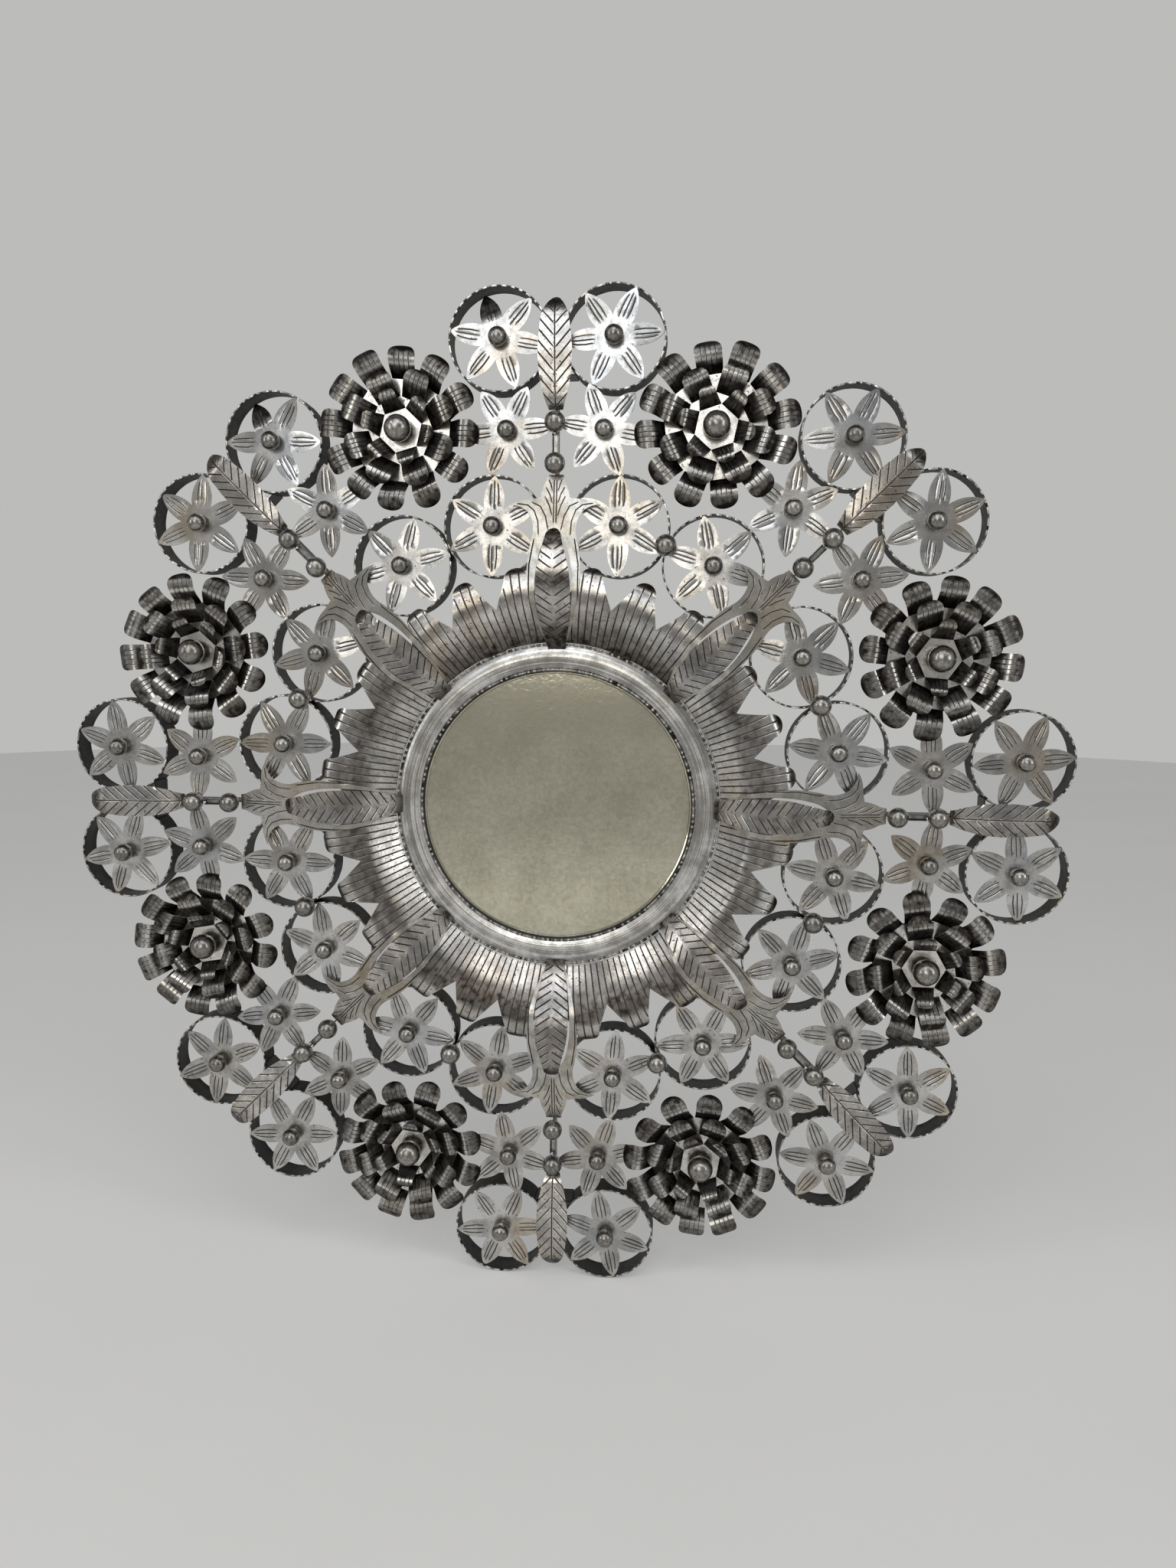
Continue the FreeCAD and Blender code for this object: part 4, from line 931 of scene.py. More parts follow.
# %% [markdown]
# ## Leaves
# Two leaves stand on each axis. The inner one springs from a tab on the ring, arches over the
# collar and curls down to the palmette. The outer one lies between two hoops with its tip curled
# back. Both have a midrib and slanting veins, chased as chevrons that open outwards.

# %% Leaf sheets
INNER_LEAF_ROOT, INNER_LEAF_SPAN, INNER_LEAF_HALF_WIDTH = 156.0, 114.0, 16.6
OUTER_LEAF_ROOT, OUTER_LEAF_SPAN, OUTER_LEAF_HALF_WIDTH = 379.0, 102.0, 16.0
INNER_LEAF_BASE, INNER_LEAF_RISE = 15.7, 36.0
OUTER_LEAF_RISE = 14.0
VEIN_BANK = 0.85
INNER_LEAF_SHARES = [(0, 0), (0.3, 0.69), (0.56, 1.0, "arc"), (0.81, 0.96), (0.94, 0.85, "arc")]
INNER_LEAF_END = (270.0, 36.2)
INNER_LEAF_OUTLINE = [(0.5, 0), (0.68, 0.116), (0.94, 0.31, "arc"), (1.0, 0.45), (0.97, 0.6, "arc"),
                      (0.85, 0.7), (0.66, 0.81, "arc"), (0.46, 0.925), (0.28, 0.98, "arc"), (0, 1.0)]
OUTER_LEAF_SHARES = [(0, 0), (0.04, 0.33, "arc"), (0.12, 0.56), (0.45, 0.86, "arc"), (0.78, 0.93),
                     (0.93, 0.5, "arc"), (1.0, -0.16)]
OUTER_LEAF_OUTLINE = [(0.42, 0), (0.84, 0.22, "arc"), (0.98, 0.40), (1.0, 0.52, "arc"), (0.88, 0.72),
                      (0.64, 0.88, "arc"), (0.3, 0.965), (0.16, 0.99, "arc"), (0, 1.0)]


def veins(line, half_width, pitch, slope, first, rib):
    """Chevron veins from the midrib outwards, and the midrib itself where there is one."""
    whole = line[0][-1]
    lines = []
    for start in np.arange(first, whole, pitch):
        for way in (-1, 1):
            end = (way * (half_width + 2), start + slope * (half_width + 1.5))
            lines.append(traced([(way * 0.5, start), end], step=2.4))
    if rib:
        lines.append(traced([(0, 2.0), (0, whole - 3)], step=2.6))
    return lines


inner_front = front_of(INNER_LEAF_ROOT, INNER_LEAF_SPAN, INNER_LEAF_BASE, INNER_LEAF_RISE, INNER_LEAF_SHARES)
inner_leaf_line = bent_line(inner_front + [INNER_LEAF_END])
inner_side = outline_of(INNER_LEAF_ROOT, INNER_LEAF_SPAN, INNER_LEAF_HALF_WIDTH, INNER_LEAF_OUTLINE)
inner_outline = reach_to_length(inner_leaf_line, both_sides(traced(inner_side, 2.0)))
inner_veins = veins(inner_leaf_line, INNER_LEAF_HALF_WIDTH, pitch=8.8, slope=0.72, first=6.0, rib=False)
inner_leaf_sheet = chased_sheet(inner_outline, inner_veins, VEIN_BANK, spacing=3.2)

outer_front = front_of(OUTER_LEAF_ROOT, OUTER_LEAF_SPAN, STRUT_SEAT, OUTER_LEAF_RISE, OUTER_LEAF_SHARES)
outer_leaf_line = bent_line(outer_front)
outer_side = outline_of(OUTER_LEAF_ROOT, OUTER_LEAF_SPAN, OUTER_LEAF_HALF_WIDTH, OUTER_LEAF_OUTLINE)
outer_outline = reach_to_length(outer_leaf_line, both_sides(traced(outer_side, 2.0)))
outer_veins = veins(outer_leaf_line, OUTER_LEAF_HALF_WIDTH, pitch=10.5, slope=1.15, first=4.0, rib=True)
outer_leaf_sheet = chased_sheet(outer_outline, outer_veins, VEIN_BANK, spacing=3.2)
print("leaf sheets:", len(inner_leaf_sheet[0]), "and", len(outer_leaf_sheet[0]), "points")

# %% [markdown]
# The leaves differ only in their painted shade, which stands in for what each one reflects. The
# inner leaf of the top axis is painted dark at its root, with painted bright and dark bands over
# its crest; the other seven have a painted dark belt over their crest; every curled tip is painted
# dark as shade.

# %% Place the leaves
LEAF_FOLD_MM = 0.7
VEIN_DEPTH = 0.6
# Painted shade below this value is lightened a little, by a share that differs from leaf to leaf
LIGHTENED_BELOW, LIGHTENED_SHARES = 0.7, (0.6, 1.0)
TOP_LEAF_SHADE = [(0, 0.9), (0.18, 0.75), (0.3, 0.5), (0.38, 0.1), (0.46, 0.0), (0.51, 0.6), (0.56, 0.75),
                  (0.62, 0.7), (0.66, 0.1), (0.78, 0.0), (0.82, 0.8), (1.0, 0.92)]
SIDE_LEAF_SHADE = [(0, 0.85), (0.09, 0.6), (0.14, 0.0), (0.26, 0.0), (0.33, 0.58), (0.67, 0.5),
                   (0.73, 0.0), (0.84, 0.0), (0.88, 0.75), (1.0, 0.92)]
OUTER_LEAF_SHADE = [(0, 0.1), (0.3, 0.0), (0.78, 0.05), (0.84, 0.75), (1.0, 0.92)]


def leaf_copy(sheet, line, half_width, profile):
    """One leaf, folded a little along its midrib, with its own strength of painted shade."""
    flat, _triangles, depth = sheet
    sink = depth * VEIN_DEPTH + LEAF_FOLD_MM * np.abs(flat[:, 0]) / half_width
    shell, faces = bent_shell(sheet, line, sink)
    shade = shade_along(flat[:, 1] / line[0][-1], profile)
    shade = np.where(shade < LIGHTENED_BELOW, shade * chance.uniform(*LIGHTENED_SHARES), shade)
    return shell, faces, sheet_marks(depth, np.clip(shade, 0, 1), chance.random())


for kind, sheet, line, half_width, profiles in (
        ("inner_leaf", inner_leaf_sheet, inner_leaf_line, INNER_LEAF_HALF_WIDTH,
         [TOP_LEAF_SHADE] + [SIDE_LEAF_SHADE] * (AXES - 1)),
        ("outer_leaf", outer_leaf_sheet, outer_leaf_line, OUTER_LEAF_HALF_WIDTH, [OUTER_LEAF_SHADE] * AXES)):
    for axis, profile in enumerate(profiles):
        shell, faces, marks = leaf_copy(sheet, line, half_width, profile)
        name = "%s_%d" % (kind, axis + 1)
        make_piece(name + "_chased", [(turned(shell, AXIS_TURN * axis), faces, marks)], chased_leaf_tin,
                   "leaf_tin", name)

# %% [markdown]
# ## Palmettes
# Two smooth arms run up the collar on both sides of the inner leaf and join in a small palmette: a
# lance with a double rib and feathered sides, and a curl to each side. Its lines are drawn here as
# shares of the half width and of the length, as the outline is.

# %% Palmettes
ARM_SHARES = [(0.016, 0.033), (0.375, 0.77), (0.62, 1.02, "arc"), (0.86, 0.97)]
PALMETTE_OUTSIDE = [(0.24, 0), (0.476, 0.172, "arc"), (0.595, 0.357), (0.6, 0.463, "arc"), (0.5, 0.629),
                    (0.512, 0.72, "arc"), (0.607, 0.773), (0.762, 0.804, "arc"), (1.0, 0.819),
                    (0.786, 0.845, "arc"), (0.571, 0.851), (0.331, 0.863), (0.293, 0.912, "arc"),
                    (0.21, 0.9615), (0.181, 1.0)]
PALMETTE_OPENING = [(0, 0.68), (0.21, 0.612, "arc"), (0.321, 0.54), (0.43, 0.33, "arc"), (0.381, 0.172),
                    (0.295, 0.08, "arc"), (0.16, 0)]
PALMETTE_LINES = [
    [(0.03, 0.70), (0.03, 0.985)],
    [(0.06, 0.75), (0.13, 0.815), (0.24, 0.875)],
    [(0.06, 0.825), (0.12, 0.88), (0.22, 0.93)],
    [(0.06, 0.90), (0.10, 0.94), (0.16, 0.98)],
    [(0.14, 0.66), (0.21, 0.75), (0.33, 0.81), (0.55, 0.838)],
    [(0.36, 0.63), (0.38, 0.72), (0.47, 0.785), (0.62, 0.818), (0.88, 0.828)],
    [(0.545, 0.20), (0.555, 0.34), (0.555, 0.46), (0.455, 0.62)],
]
PALMETTE_HALF_WIDTH = 42.0
PALMETTE_TIP = 320.0
PALMETTE_LINE_BANK = 0.7
PALMETTE_LINE_DEPTH = 0.5
PALMETTE_SHADE = [(0, 0.35), (0.08, 0.12), (0.3, 0.05), (1.0, 0.0)]

arm_front = front_of(COLLAR_ROOT, COLLAR_SPAN, ARM_BASE, COLLAR_RISE, ARM_SHARES)
arm_root = arm_front[0][0]
palmette_length = PALMETTE_TIP - arm_root
palmette_line = bent_line(arm_front + [(PALMETTE_TIP, STRUT_SEAT)])
outside = traced(outline_of(arm_root, palmette_length, PALMETTE_HALF_WIDTH, PALMETTE_OUTSIDE), step=1.8)
opening = traced(outline_of(arm_root, palmette_length, PALMETTE_HALF_WIDTH, PALMETTE_OPENING), step=1.8)
palmette_outline = np.vstack([outside, outside[::-1] * (-1, 1), opening[::-1] * (-1, 1), opening[1:]])
palmette_lines = []
for share_line in PALMETTE_LINES:
    for way in (-1, 1):
        drawn = outline_of(arm_root, palmette_length, PALMETTE_HALF_WIDTH * way, share_line)
        palmette_lines.append(reach_to_length(palmette_line, traced(drawn, 2.0)))
palmette_outline = reach_to_length(palmette_line, palmette_outline)
palmette_sheet = chased_sheet(palmette_outline, palmette_lines, PALMETTE_LINE_BANK, spacing=3.2)

for axis in range(AXES):
    flat, _triangles, depth = palmette_sheet
    shell, faces = bent_shell(palmette_sheet, palmette_line, depth * PALMETTE_LINE_DEPTH)
    shade = shade_along(flat[:, 1] / palmette_line[0][-1], PALMETTE_SHADE)
    marks = sheet_marks(depth, shade, chance.random())
    name = "palmette_%d" % (axis + 1)
    make_piece(name + "_chased", [(turned(shell, AXIS_TURN * axis), faces, marks)], palmette_tin,
               "palmette_tin", name)

# %% [markdown]
# ## Rosettes
# Eight dark rosettes stand between the axes. Each has three plates, with twelve, eight and six
# petals bent up from their sides and rolled back like barrels. Lengthwise lines divide each petal.
# The plates are painted bright as highlight, the petals nearly black as painted shade, and each
# petal's crest carries a painted highlight band.

# %% Rosette petals
# Each plate: petals, radius of the fold, front line of a petal as (reach, height), outline as shares,
# places of its lines, where its painted highlight band lies, its back's height, and the turn of each
# copy
PLATES = {
    "outer": {
        "petals": 12, "fold": 48.0, "half_width": 12.86, "lines": (-7.2, -2.4, 2.4, 7.2),
        "front": [(47.3, 0.7), (48.0, 0.9), (55.8, 9.3), (66.3, 13.7, "arc"), (79.0, 5.5)],
        "outline": [(0.93, 0), (0.99, 0.58), (0.74, 0.88, "arc"), (0, 1.0)],
        "band": 0.47, "back": 21.2, "turns": [22, 7, 20, 7, 18, 8, 24, 5],
    },
    "middle": {
        "petals": 8, "fold": 30.0, "half_width": 12.43, "lines": (-6.9, -2.3, 2.3, 6.9),
        "front": [(29.3, 0.7), (30.0, 0.9), (41.5, 13.5), (49.3, 16.9, "arc"), (57.3, 13.2)],
        "outline": [(0.93, 0), (0.98, 0.62), (0.76, 0.89, "arc"), (0, 1.0)],
        "band": 0.62, "back": 21.9, "turns": [19, 26, 36, 18, 29, 32, 39, 24],
    },
    "inner": {
        "petals": 6, "fold": 19.0, "half_width": 10.97, "lines": (-4.4, 0, 4.4),
        "front": [(18.3, 0.7), (19.0, 0.9), (27.3, 13.9), (32.8, 16.9, "arc"), (37.0, 15.4)],
        "outline": [(0.97, 0), (0.72, 0.68), (0.52, 0.92, "arc"), (0, 1.0)],
        "band": 0.74, "back": 22.6, "turns": [42, 5, 0, 39, 6, 50, 42, 44],
    },
}
PETAL_LINE_BANK = 0.55
PETAL_LINE_DEPTH = 0.28
# How far the petals differ: shares of their reach and rise, and degrees of lean
PETAL_REACHES, PETAL_RISES, PETAL_LEAN = (0.88, 1.0), (0.94, 1.06), 2.5
# The painted highlight band as shares of the length, and a fainter painted streak each side: place,
# least and most
HIGHLIGHT_BAND_WIDTH, HIGHLIGHT_BAND_SHIFT, HIGHLIGHT_STREAK_WIDTH = 0.05, 0.03, 0.03
HIGHLIGHT_STREAKS = ((0.12, 0.1, 0.7), (-0.14, 0.0, 0.45))
# Painted shade of a petal from its fold to its tip, before its painted highlight band lightens it
PETAL_SHADE = [(0, 0.96), (0.15, 0.88), (0.3, 0.74), (0.72, 0.74), (0.88, 0.9), (1.0, 0.96)]


def petal_sheet(plate):
    """Flat petal of a plate with its lengthwise lines, and the line that it is rolled along."""
    line = bent_line(plate["front"])
    whole = line[0][-1]
    side = traced(outline_of(0, whole, plate["half_width"], plate["outline"]), step=1.8)
    lines = [traced([(place, 1.5), (place * 0.92, whole - 2.5)], step=2.2) for place in plate["lines"]]
    return line, chased_sheet(both_sides(side), lines, PETAL_LINE_BANK, spacing=2.6)


def petal_copy(plate, line, sheet):
    """One rolled petal with its own reach, rise, lean and painted highlight band."""
    flat, _triangles, depth = sheet
    shell, faces = bent_shell(sheet, line, depth * PETAL_LINE_DEPTH)
    reach_share, rise_share = chance.uniform(*PETAL_REACHES), chance.uniform(*PETAL_RISES)
    share = flat[:, 1] / line[0][-1]
    shell[:, 2] = plate["fold"] + (shell[:, 2] - plate["fold"]) * reach_share
    shell[:, 1] *= 1 + (rise_share - 1) * np.tile(np.clip(share * 2, 0, 1), 2)
    lean = math.tan(math.radians(chance.normal(0, PETAL_LEAN)))
    shell[:, 0] += np.clip(shell[:, 2] - plate["fold"], 0, None) * lean
    # The painted highlight: a band and two fainter streaks lighten the painted shade
    centre = plate["band"] + chance.normal(0, HIGHLIGHT_BAND_SHIFT)
    painted_highlights = np.exp(-((share - centre) / HIGHLIGHT_BAND_WIDTH) ** 4) * chance.uniform(0.8, 1.0)
    for aside, least, most in HIGHLIGHT_STREAKS:
        painted_highlights += np.exp(-((share - centre - aside) / HIGHLIGHT_STREAK_WIDTH) ** 2) * chance.uniform(least, most)
    shade = shade_along(share, PETAL_SHADE) * (1 - np.clip(painted_highlights, 0, 1))
    return shell, faces, sheet_marks(depth, shade, chance.random())


def plate_middle(count, fold):
    """Flat middle of a plate, with a side for each petal, as a closed shell."""
    corner = fold / math.cos(math.pi / count)
    turns = math.pi / count * (2 * np.arange(count) + 1)
    ring = np.stack([corner * np.sin(turns), np.zeros(count), corner * np.cos(turns)], axis=1)
    points = np.vstack([[(0, 0, 0)], ring])
    triangles = np.array([(0, (k + 1) % count + 1, k + 1) for k in range(count)])
    facing = np.tile([0.0, -1.0, 0.0], (len(points), 1))
    return closed_shell(points - (0, TIN, 0), facing, triangles, TIN)


for name, plate in PLATES.items():
    line, sheet = petal_sheet(plate)
    copies = []
    for index, own_turn in enumerate(plate["turns"]):
        seat = polar(ROSETTE_RADIUS, AXIS_TURN * (index + 0.5), plate["back"])
        points, faces = plate_middle(plate["petals"], plate["fold"])
        # The plates get the brightest own tone and no shade, a painted highlight
        copies.append((turned(points, own_turn) + seat, faces, {"own": 1.0}))
        for petal in range(plate["petals"]):
            shell, faces, marks = petal_copy(plate, line, sheet)
            copies.append((turned(shell, own_turn + petal * 360 / plate["petals"]) + seat, faces, marks))
    node = "rosette_%s_petals" % name
    make_piece(node + "_rolled", copies, rosette_tin_painted_shade, "rosette_tin", node)

# %% [markdown]
# ## Hoops and wires
# The hoops are steel strip on edge, blackened, with a thickened front rim that was nicked with a
# file every few millimetres and filed bright on its crest. Two thin wires with the same nicks edge
# the ring. A curve with a bevel would give smooth hoops without nicks, so one small section is
# carried round a circle instead, and pressed in at each nick.

# %% Turned rings
NICK_JITTER = 0.25
NICK_END = 0.06
NICK_SIDE_SHARE = 0.4
# Mark inside a nick, least and most, which on the hoops is painted shade and on the wires a bright
# filed flat, and the grime that a stretch between two nicks may have
NICK_MARK = (0.75, 1.0)
STRETCH_GRIME = [0.0, 0.1, 0.3, 0.65]


def outward(points, faces):
    """Faces of a closed body of four-sided faces, turned so that they look outwards."""
    first, second, third, fourth = (points[faces[:, k]] for k in range(4))
    volume = np.einsum("ij,ij->i", first, np.cross(second, third) + np.cross(third, fourth)).sum()
    return faces if volume > 0 else faces[:, ::-1]


def turned_ring(section, radius, pitch, depth, cut=0.13):
    """Carry a closed section of (out, up, rim) points round a circle, with a nick every pitch or so.

    The rim entry is 1 where a point is pressed in by a nick. Gives the points and faces, and for each
    point its nick mark or the grime of its stretch, and whether it belongs to the rim.
    """
    nicks = max(3, round(math.tau * radius / pitch))
    starts = (np.arange(nicks) + chance.uniform(-NICK_JITTER, NICK_JITTER, nicks)) / nicks
    turns, dents, worn = [], [], []
    for start in starts:
        in_nick, between = chance.uniform(*NICK_MARK), chance.choice(STRETCH_GRIME)
        for shift, dent in ((-cut - NICK_END, 0.0), (-cut, 1.0), (cut, 1.0), (cut + NICK_END, 0.0)):
            turns.append((start + shift / nicks) * math.tau)
            dents.append(dent)
            worn.append(in_nick if dent else between)
    turns, dents, worn = np.array(turns), np.array(dents), np.array(worn)
    out, up, rim = (np.array(column, float) for column in zip(*section))
    middle = out[rim > 0].mean() if rim.any() else 0.0
    shrink = dents[:, None] * rim * depth
    reach = radius + out - shrink * NICK_SIDE_SHARE * np.sign(out - middle)
    height = up - shrink
    points = np.stack([reach * np.sin(turns)[:, None], -height, reach * np.cos(turns)[:, None]], axis=2)
    rows, columns = len(turns), len(section)
    here = np.arange(rows)[:, None] * columns + np.arange(columns)
    after = np.roll(here, -1, axis=0)
    faces = np.stack([here, np.roll(here, -1, axis=1), np.roll(after, -1, axis=1), after], axis=2)
    points, faces = points.reshape(-1, 3), faces.reshape(-1, 4)
    return points, outward(points, faces), (worn[:, None] * rim).ravel(), np.tile(rim, rows) > 0


print("nicks differ in place by", NICK_JITTER, "of their spacing")

# %% Place the hoops
HOOP_SECTION = [(0, 0, 0), (0, 22.8, 0), (0.05, 23.6, 1), (0, 24.5, 1), (-0.2, 24.93, 1), (-0.4, 25.0, 1),
                (-1.4, 25.0, 1), (-1.6, 24.93, 1), (-1.8, 24.5, 1), (-1.85, 23.6, 1), (-1.05, 22.8, 0),
                (-1.0, 0, 0)]
HOOP_NICK_PITCH, HOOP_NICK_DEPTH, HOOP_NICK_CUT = 9.0, 0.28, 0.2
STRIP_SHADE = 0.6
ROLLED_TURN = math.radians(50)
# Only the rim's crest, above this height, was filed bright
FILED_FROM = 24.4
section_count = len(HOOP_SECTION)
filed_sides = [k for k in range(section_count - 1)
               if min(HOOP_SECTION[k][1], HOOP_SECTION[k + 1][1]) > FILED_FROM]
for row in ("inner", "outer"):
    strips = []
    for place in row_places(row):
        points, faces, grime_and_nick_mark, rim = turned_ring(HOOP_SECTION, HOOP_RADIUS, HOOP_NICK_PITCH, HOOP_NICK_DEPTH,
                                                HOOP_NICK_CUT)
        # On the rim the nicks are painted dark as shade, and the stretches between carry grime
        marks = {"shade": np.where(rim, grime_and_nick_mark, STRIP_SHADE), "own": chance.random()}
        strips.append((points + polar(ROW_RADII[row], place), faces, marks))
    hoops = make_piece(row + "_hoops_nicked", strips, blackened_strip, "strip_steel", row + "_hoops",
                       sharp=ROLLED_TURN)
    hoops.data.materials.append(filed_edge_steel)
    slots = np.array([k % section_count in filed_sides for k in range(len(hoops.data.polygons))])
    hoops.data.polygons.foreach_set("material_index", slots.astype(np.int32))
print("filed sides of the hoop section:", filed_sides)

# %% Wires at the edges of the ring
WIRE_RADIUS = 1.3
WIRE_SIDES = 10
WIRE_NICK_PITCH, WIRE_NICK_DEPTH, WIRE_NICK_CUT = 7.0, 0.35, 0.14
WIRE_GRIME = 0.85
wire_turns = [math.tau * k / WIRE_SIDES for k in range(WIRE_SIDES)]
wire_section = [(WIRE_RADIUS * math.sin(turn), WIRE_RADIUS * math.cos(turn), 1) for turn in wire_turns]
for name, radius, front in (("bezel_inner_wire", 136.2, 14.7), ("bezel_outer_wire", 160.8, 14.0)):
    points, faces, grime_and_nick_mark, rim = turned_ring(wire_section, radius, WIRE_NICK_PITCH, WIRE_NICK_DEPTH,
                                            WIRE_NICK_CUT)
    marks = {"shade": 1.0 - WIRE_GRIME * grime_and_nick_mark, "own": 0.6}
    make_piece(name + "_nicked", [(points + polar(0, 0, front), faces, marks)], nicked_wire_steel,
               "ring_tin", name, sharp=ROLLED_TURN)

# %% [markdown]
# The glass sits a little deeper than the ring. A bead of putty between the two holds it and hides
# the board. It is nearly black as painted shadow, the shade of the groove in which the glass seems
# to float. The glass shows a narrow pale rim, where its edge was ground. Both are turned like the
# wires, with hardly a nick or none.

# %% Putty bead and ground edge
PUTTY_LUMP_MM = 4
PUTTY_SHADOW_DARK, PUTTY_SHADOW_LIGHT = "#1d1b19", "#35312d"
PUTTY_RADIUS, GLASS_EDGE_RADIUS = 137.6, 134.2
PUTTY_DENT_PITCH, PUTTY_DENT_DEPTH = 14.0, 0.15
SMOOTH_PITCH = 9.0
PUTTY_SECTION = [(0, 7.9, 0), (0, 13.2, 0), (-1.2, 12.9, 0), (-2.4, 11.9, 1), (-3.3, 10.9, 1),
                 (-3.6, 10.2, 0), (-3.6, 7.9, 0)]
GLASS_EDGE_SECTION = [(0, 9.9, 0), (0, 11.0, 0), (-0.5, 11.1, 0), (-1.9, 10.3, 0), (-1.9, 9.9, 0)]


def shadow_black_putty():
    """Glazing putty, nearly black as painted shadow, matt and a little lumpy."""
    material, tree = new_material("glazing_putty_painted_shadow")
    place = add_node(tree, "TexCoord").outputs["Object"]
    lumps = add_node(tree, "TexNoise", {"Vector": place, "Scale": 1 / (PUTTY_LUMP_MM * MM),
                                        "Detail": 3.0}).outputs["Fac"]
    tone = add_node(tree, "Mix", {"Factor_Float": lumps, "A_Color": linear(PUTTY_SHADOW_DARK),
                                  "B_Color": linear(PUTTY_SHADOW_LIGHT)}, data_type="RGBA").outputs["Result"]
    bump = add_node(tree, "Bump", {"Height": lumps, "Strength": 0.4, "Distance": MM}).outputs[0]
    shader = add_node(tree, "BsdfPrincipled", {"Base Color": tone, "Roughness": 0.65, "Normal": bump})
    add_node(tree, "OutputMaterial", {"Surface": shader.outputs[0]})
    return material


bead = turned_ring(PUTTY_SECTION, PUTTY_RADIUS, PUTTY_DENT_PITCH, PUTTY_DENT_DEPTH)[:2]
make_piece("glazing_putty", [(*bead, {})], shadow_black_putty(), "back_tin", sharp=ROLLED_TURN)
ground = turned_ring(GLASS_EDGE_SECTION, GLASS_EDGE_RADIUS, SMOOTH_PITCH, depth=0.0)[:2]
make_piece("glass_ground_edge", [(*ground, {})], mirror_silver, "mirror_glass")

# %% [markdown]
# The ring is a band of tin beaten slightly round over a stake and rubbed bright in circles. A flat
# band would have one tone. Its curve is what makes it light at the top and dark at the sides.

# %% Crowned ring
BAND_INSIDE, BAND_OUTSIDE = 137.8, 159.6
BAND_BACK, BAND_EDGE, BAND_CROWN = 12.0, 13.7, 15.9
BAND_STEPS = 14
band_middle, band_half = (BAND_INSIDE + BAND_OUTSIDE) / 2, (BAND_OUTSIDE - BAND_INSIDE) / 2
band_arc = [(out * band_half, BAND_CROWN - (BAND_CROWN - BAND_EDGE) * out ** 2, 0)
            for out in np.linspace(1, -1, BAND_STEPS + 1)]
band_section = [(band_half, BAND_BACK, 0)] + band_arc + [(-band_half, BAND_BACK, 0)]
band = turned_ring(band_section, band_middle, SMOOTH_PITCH, depth=0.0)[:2]
make_piece("bezel_band_crowned", [(*band, {"own": 0.8})], rubbed_ring_tin, "ring_tin", "bezel_band",
           sharp=ROLLED_TURN)

# %% [markdown]
# ## Balls
# Every flower, knot, axis and rosette carries a steel ball. A ball isn't a bare sphere here: it is
# turned from one profile with the small foot of solder that holds it, as it really sits.

# %% Balls
BALL_SIDES = 28
BALL_RINGS = 16
LOWEST_RISE = math.radians(-46)
SEAT_SHARE = math.sin(math.radians(60))
SOLDER_SHADE = 0.35


def turned_ball(radius, foot):
    """Turn a ball and its foot from one profile, from the seat's middle to the ball's front."""
    rises = np.linspace(LOWEST_RISE, math.pi / 2, BALL_RINGS)
    middle = foot[-1][1] + radius * SEAT_SHARE
    profile = foot + [(radius * math.cos(a), middle + radius * math.sin(a)) for a in rises[:-1]]
    turns = math.tau * np.arange(BALL_SIDES) / BALL_SIDES
    reach, height = (np.array(column, float)[:, None] for column in zip(*profile))
    rings = np.stack([reach * np.sin(turns), -height + 0 * turns, reach * np.cos(turns)], axis=2)
    points = np.vstack([rings.reshape(-1, 3), [(0, 0, 0), (0, -(middle + radius), 0)]])
    base, crown = len(points) - 2, len(points) - 1
    faces = []
    for row in range(len(profile) - 1):
        for k in range(BALL_SIDES):
            near, far = row * BALL_SIDES + k, row * BALL_SIDES + (k + 1) % BALL_SIDES
            faces.append((near + BALL_SIDES, far + BALL_SIDES, far, near))
    last = (len(profile) - 1) * BALL_SIDES
    faces += [(base, (k + 1) % BALL_SIDES, k) for k in range(BALL_SIDES)]
    faces += [(crown, last + k, last + (k + 1) % BALL_SIDES) for k in range(BALL_SIDES)]
    ring_shade = [SOLDER_SHADE if row < len(foot) else 0.0 for row in range(len(profile))]
    return points, faces, np.concatenate([np.repeat(ring_shade, BALL_SIDES), [SOLDER_SHADE, 0.0]])


def ball_copies(radius, foot, seats):
    """A ball at each seat."""
    points, faces, shade = turned_ball(radius, foot)
    return [(turned(points, chance.uniform(0, 360)) + seat, faces, {"shade": shade, "own": chance.random()})
            for seat in seats]


# Seats of the flower balls: the front of each row's flowers
FLOWER_FRONTS = {"inner": 24.7, "middle": 25.7, "outer": 24.7}
AXIS_BALL_RADII = (329.5, 367.0)
KNOT_RADIUS = 274.73
ROSETTE_FRONT = 23.3
flower_seats = [polar(ROW_RADII[row], place, front) for row, front in FLOWER_FRONTS.items()
                for place in row_places(row)]
axis_seats = [polar(radius, AXIS_TURN * axis, STRIP_DEPTH) for axis in range(AXES)
              for radius in AXIS_BALL_RADII]
# The knot left of the top is lost
knot_seats = [polar(KNOT_RADIUS, AXIS_TURN * (axis + 0.5), STRIP_DEPTH) for axis in range(AXES - 1)]
rosette_seats = [polar(ROSETTE_RADIUS, AXIS_TURN * (axis + 0.5), ROSETTE_FRONT) for axis in range(AXES)]
for node, radius, foot, seats in (("flower_balls", 8.9, [(6.6, 0.0), (6.3, 0.5)], flower_seats),
                                  ("axis_balls", 9.9, [(2.6, 0.0), (1.7, 0.3), (4.6, 0.8)], axis_seats),
                                  ("knot_balls", 10.2, [(6.0, 0.0), (6.6, 0.4)], knot_seats),
                                  ("rosette_balls", 12.8, [(9.6, 0.0), (9.2, 0.6)], rosette_seats)):
    make_piece(node + "_soldered", ball_copies(radius, foot, seats), smoked_ball_steel, "ball_steel", node)

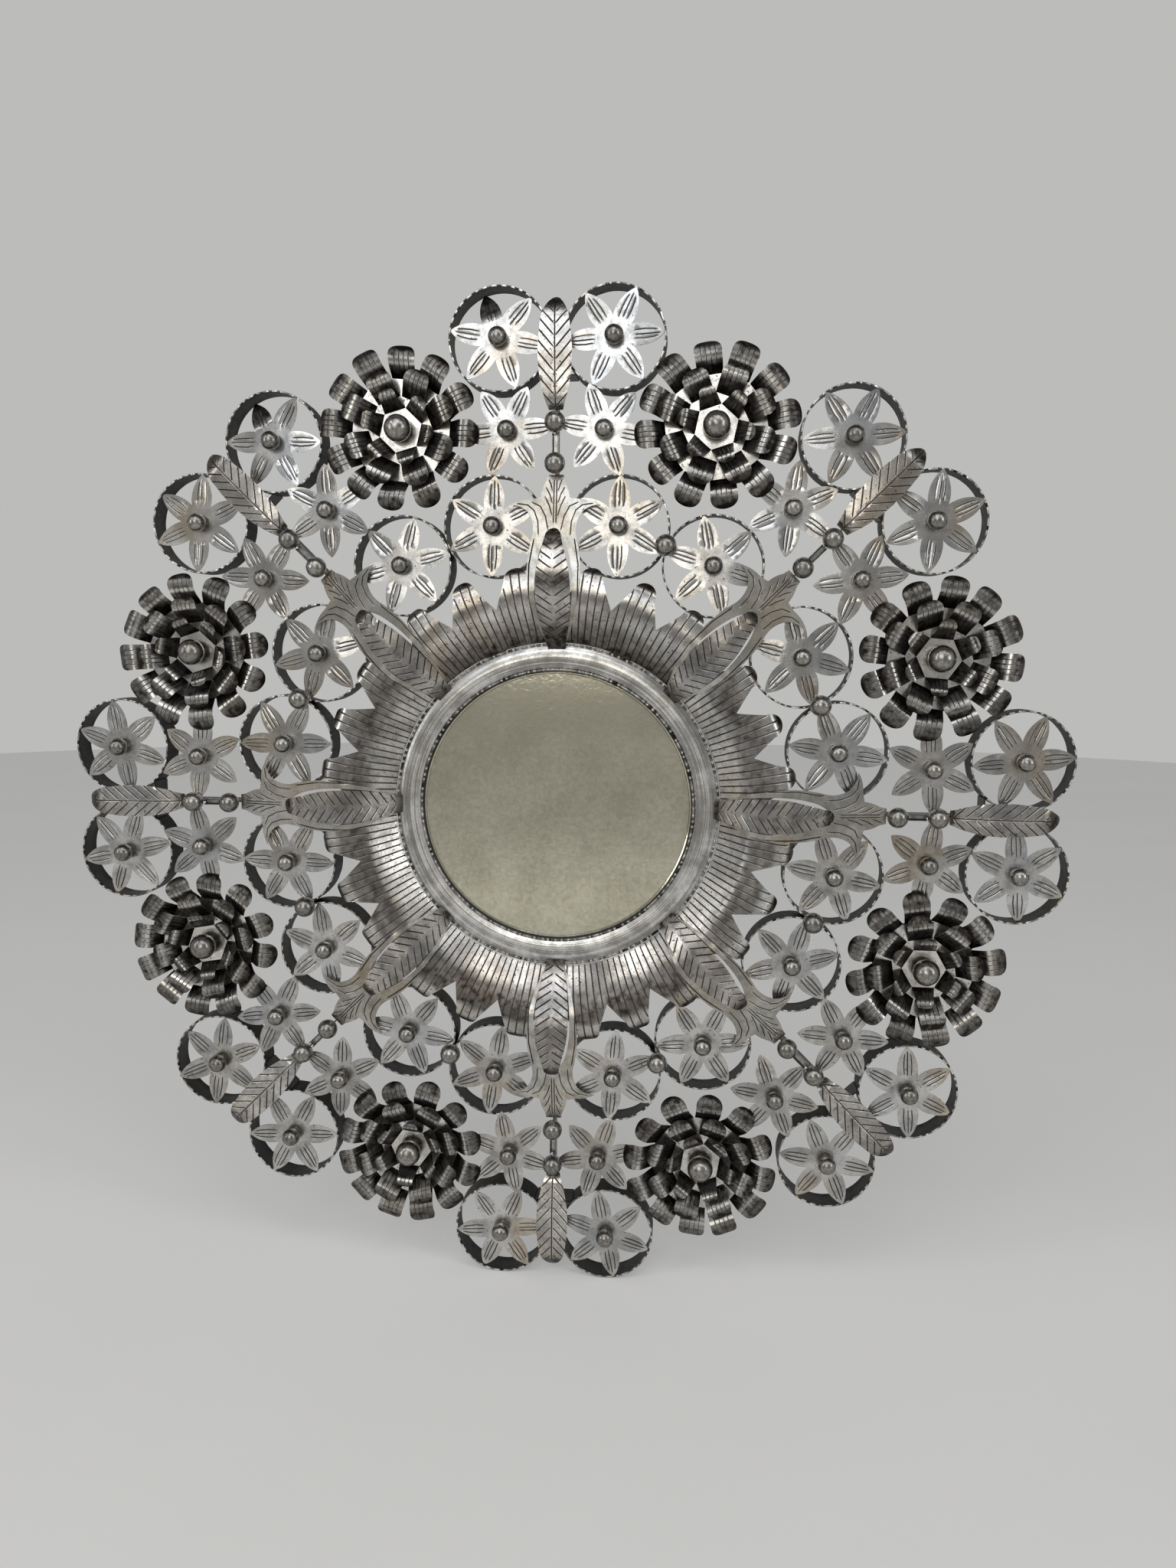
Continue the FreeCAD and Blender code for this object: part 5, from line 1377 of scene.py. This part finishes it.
# %% [markdown]
# Between the two balls of each axis lies a short channel folded from a strip, dark outside, with
# its rubbed edges and floor showing as a small bright loop. A plain bar would do from afar, but the
# loop is what the eye sees there, so the channel is built with its open front.

# %% Folded links
LINK_RADIUS = 348.25
LINK_LENGTH = 18.4
LINK_CHAMFER = 0.5
# At its two ends the channel is a little narrower and its walls are lower
END_NARROWING, END_LOWERING, WALLS_FROM = 0.06, 0.2, 5
# Section across the link: (across, height above the strut, patina)
LINK_SECTION = [(3.25, 0.8, 0.9), (3.25, 5.3, 0.9), (3.0, 5.8, 0.2), (2.6, 5.8, 0.0), (2.35, 5.4, 0.5),
                (2.2, 2.0, 0.8), (1.7, 1.5, 0.1)]


def folded_link():
    """A channel on the top axis, about its own middle: points, faces and patina."""
    section = LINK_SECTION + [(-across, height, patina_and_shade) for across, height, patina_and_shade in reversed(LINK_SECTION)]
    across, height, patina_and_shade = (np.array(column) for column in zip(*section))
    end = LINK_LENGTH / 2
    rows = ((-end, 1), (-end + LINK_CHAMFER, 0), (end - LINK_CHAMFER, 0), (end, 1))
    wall = height > WALLS_FROM
    points = np.vstack([np.stack([across * (1 - cut * END_NARROWING), cut * END_LOWERING * wall - height,
                                  0 * across + place], axis=1) for place, cut in rows])
    count = len(section)
    faces = []
    for row in range(len(rows) - 1):
        for k in range(count):
            near, far = row * count + k, row * count + (k + 1) % count
            faces.append([near + count, far + count, far, near])
    last = (len(rows) - 1) * count
    faces += [list(range(count)), [last + k for k in reversed(range(count))]]
    return points, faces, np.tile(patina_and_shade, len(rows))


points, faces, patina_and_shade = folded_link()
copies = [(turned(points, AXIS_TURN * axis) + polar(LINK_RADIUS, AXIS_TURN * axis, STRIP_DEPTH), faces,
           {"shade": patina_and_shade, "own": chance.random()}) for axis in range(AXES)]
make_piece("axis_links_folded", copies, bright_link_tin, "flower_tin", "axis_links")

# %% [markdown]
# ## Pieces that keep their solids
# The pan, the board, the struts, the lugs and the glass already have the right shape as solids.
# Rebuilding them would add nothing, so they only get their finish and a small bevel, which catches
# the light as a real cut or ground edge does.

# %% Finish the kept solids
BEVEL_FROM = math.radians(35)
# Finish of each solid and width of its bevel in millimetres
KEPT = {
    "mirror_glass": (mirror_silver, 1.6),
    "backing_board": (hardboard, 0.5),
    "back_pan": (plain_back_tin, 0.3),
    "radial_struts": (blackened_strip, 0.2),
    "cross_struts": (blackened_strip, 0.2),
    "hanging_lugs": (plain_back_tin, 0.3),
}
for node, (finish, edge) in KEPT.items():
    solid = bpy.data.objects[node]
    solid.data.materials.clear()
    solid.data.materials.append(finish)
    bevel = solid.modifiers.new("cut_edge", "BEVEL")
    bevel.width = edge * MM
    bevel.segments = 2
    bevel.limit_method = "ANGLE"
    bevel.angle_limit = BEVEL_FROM
    print("%-16s %s" % (node, finish.name))
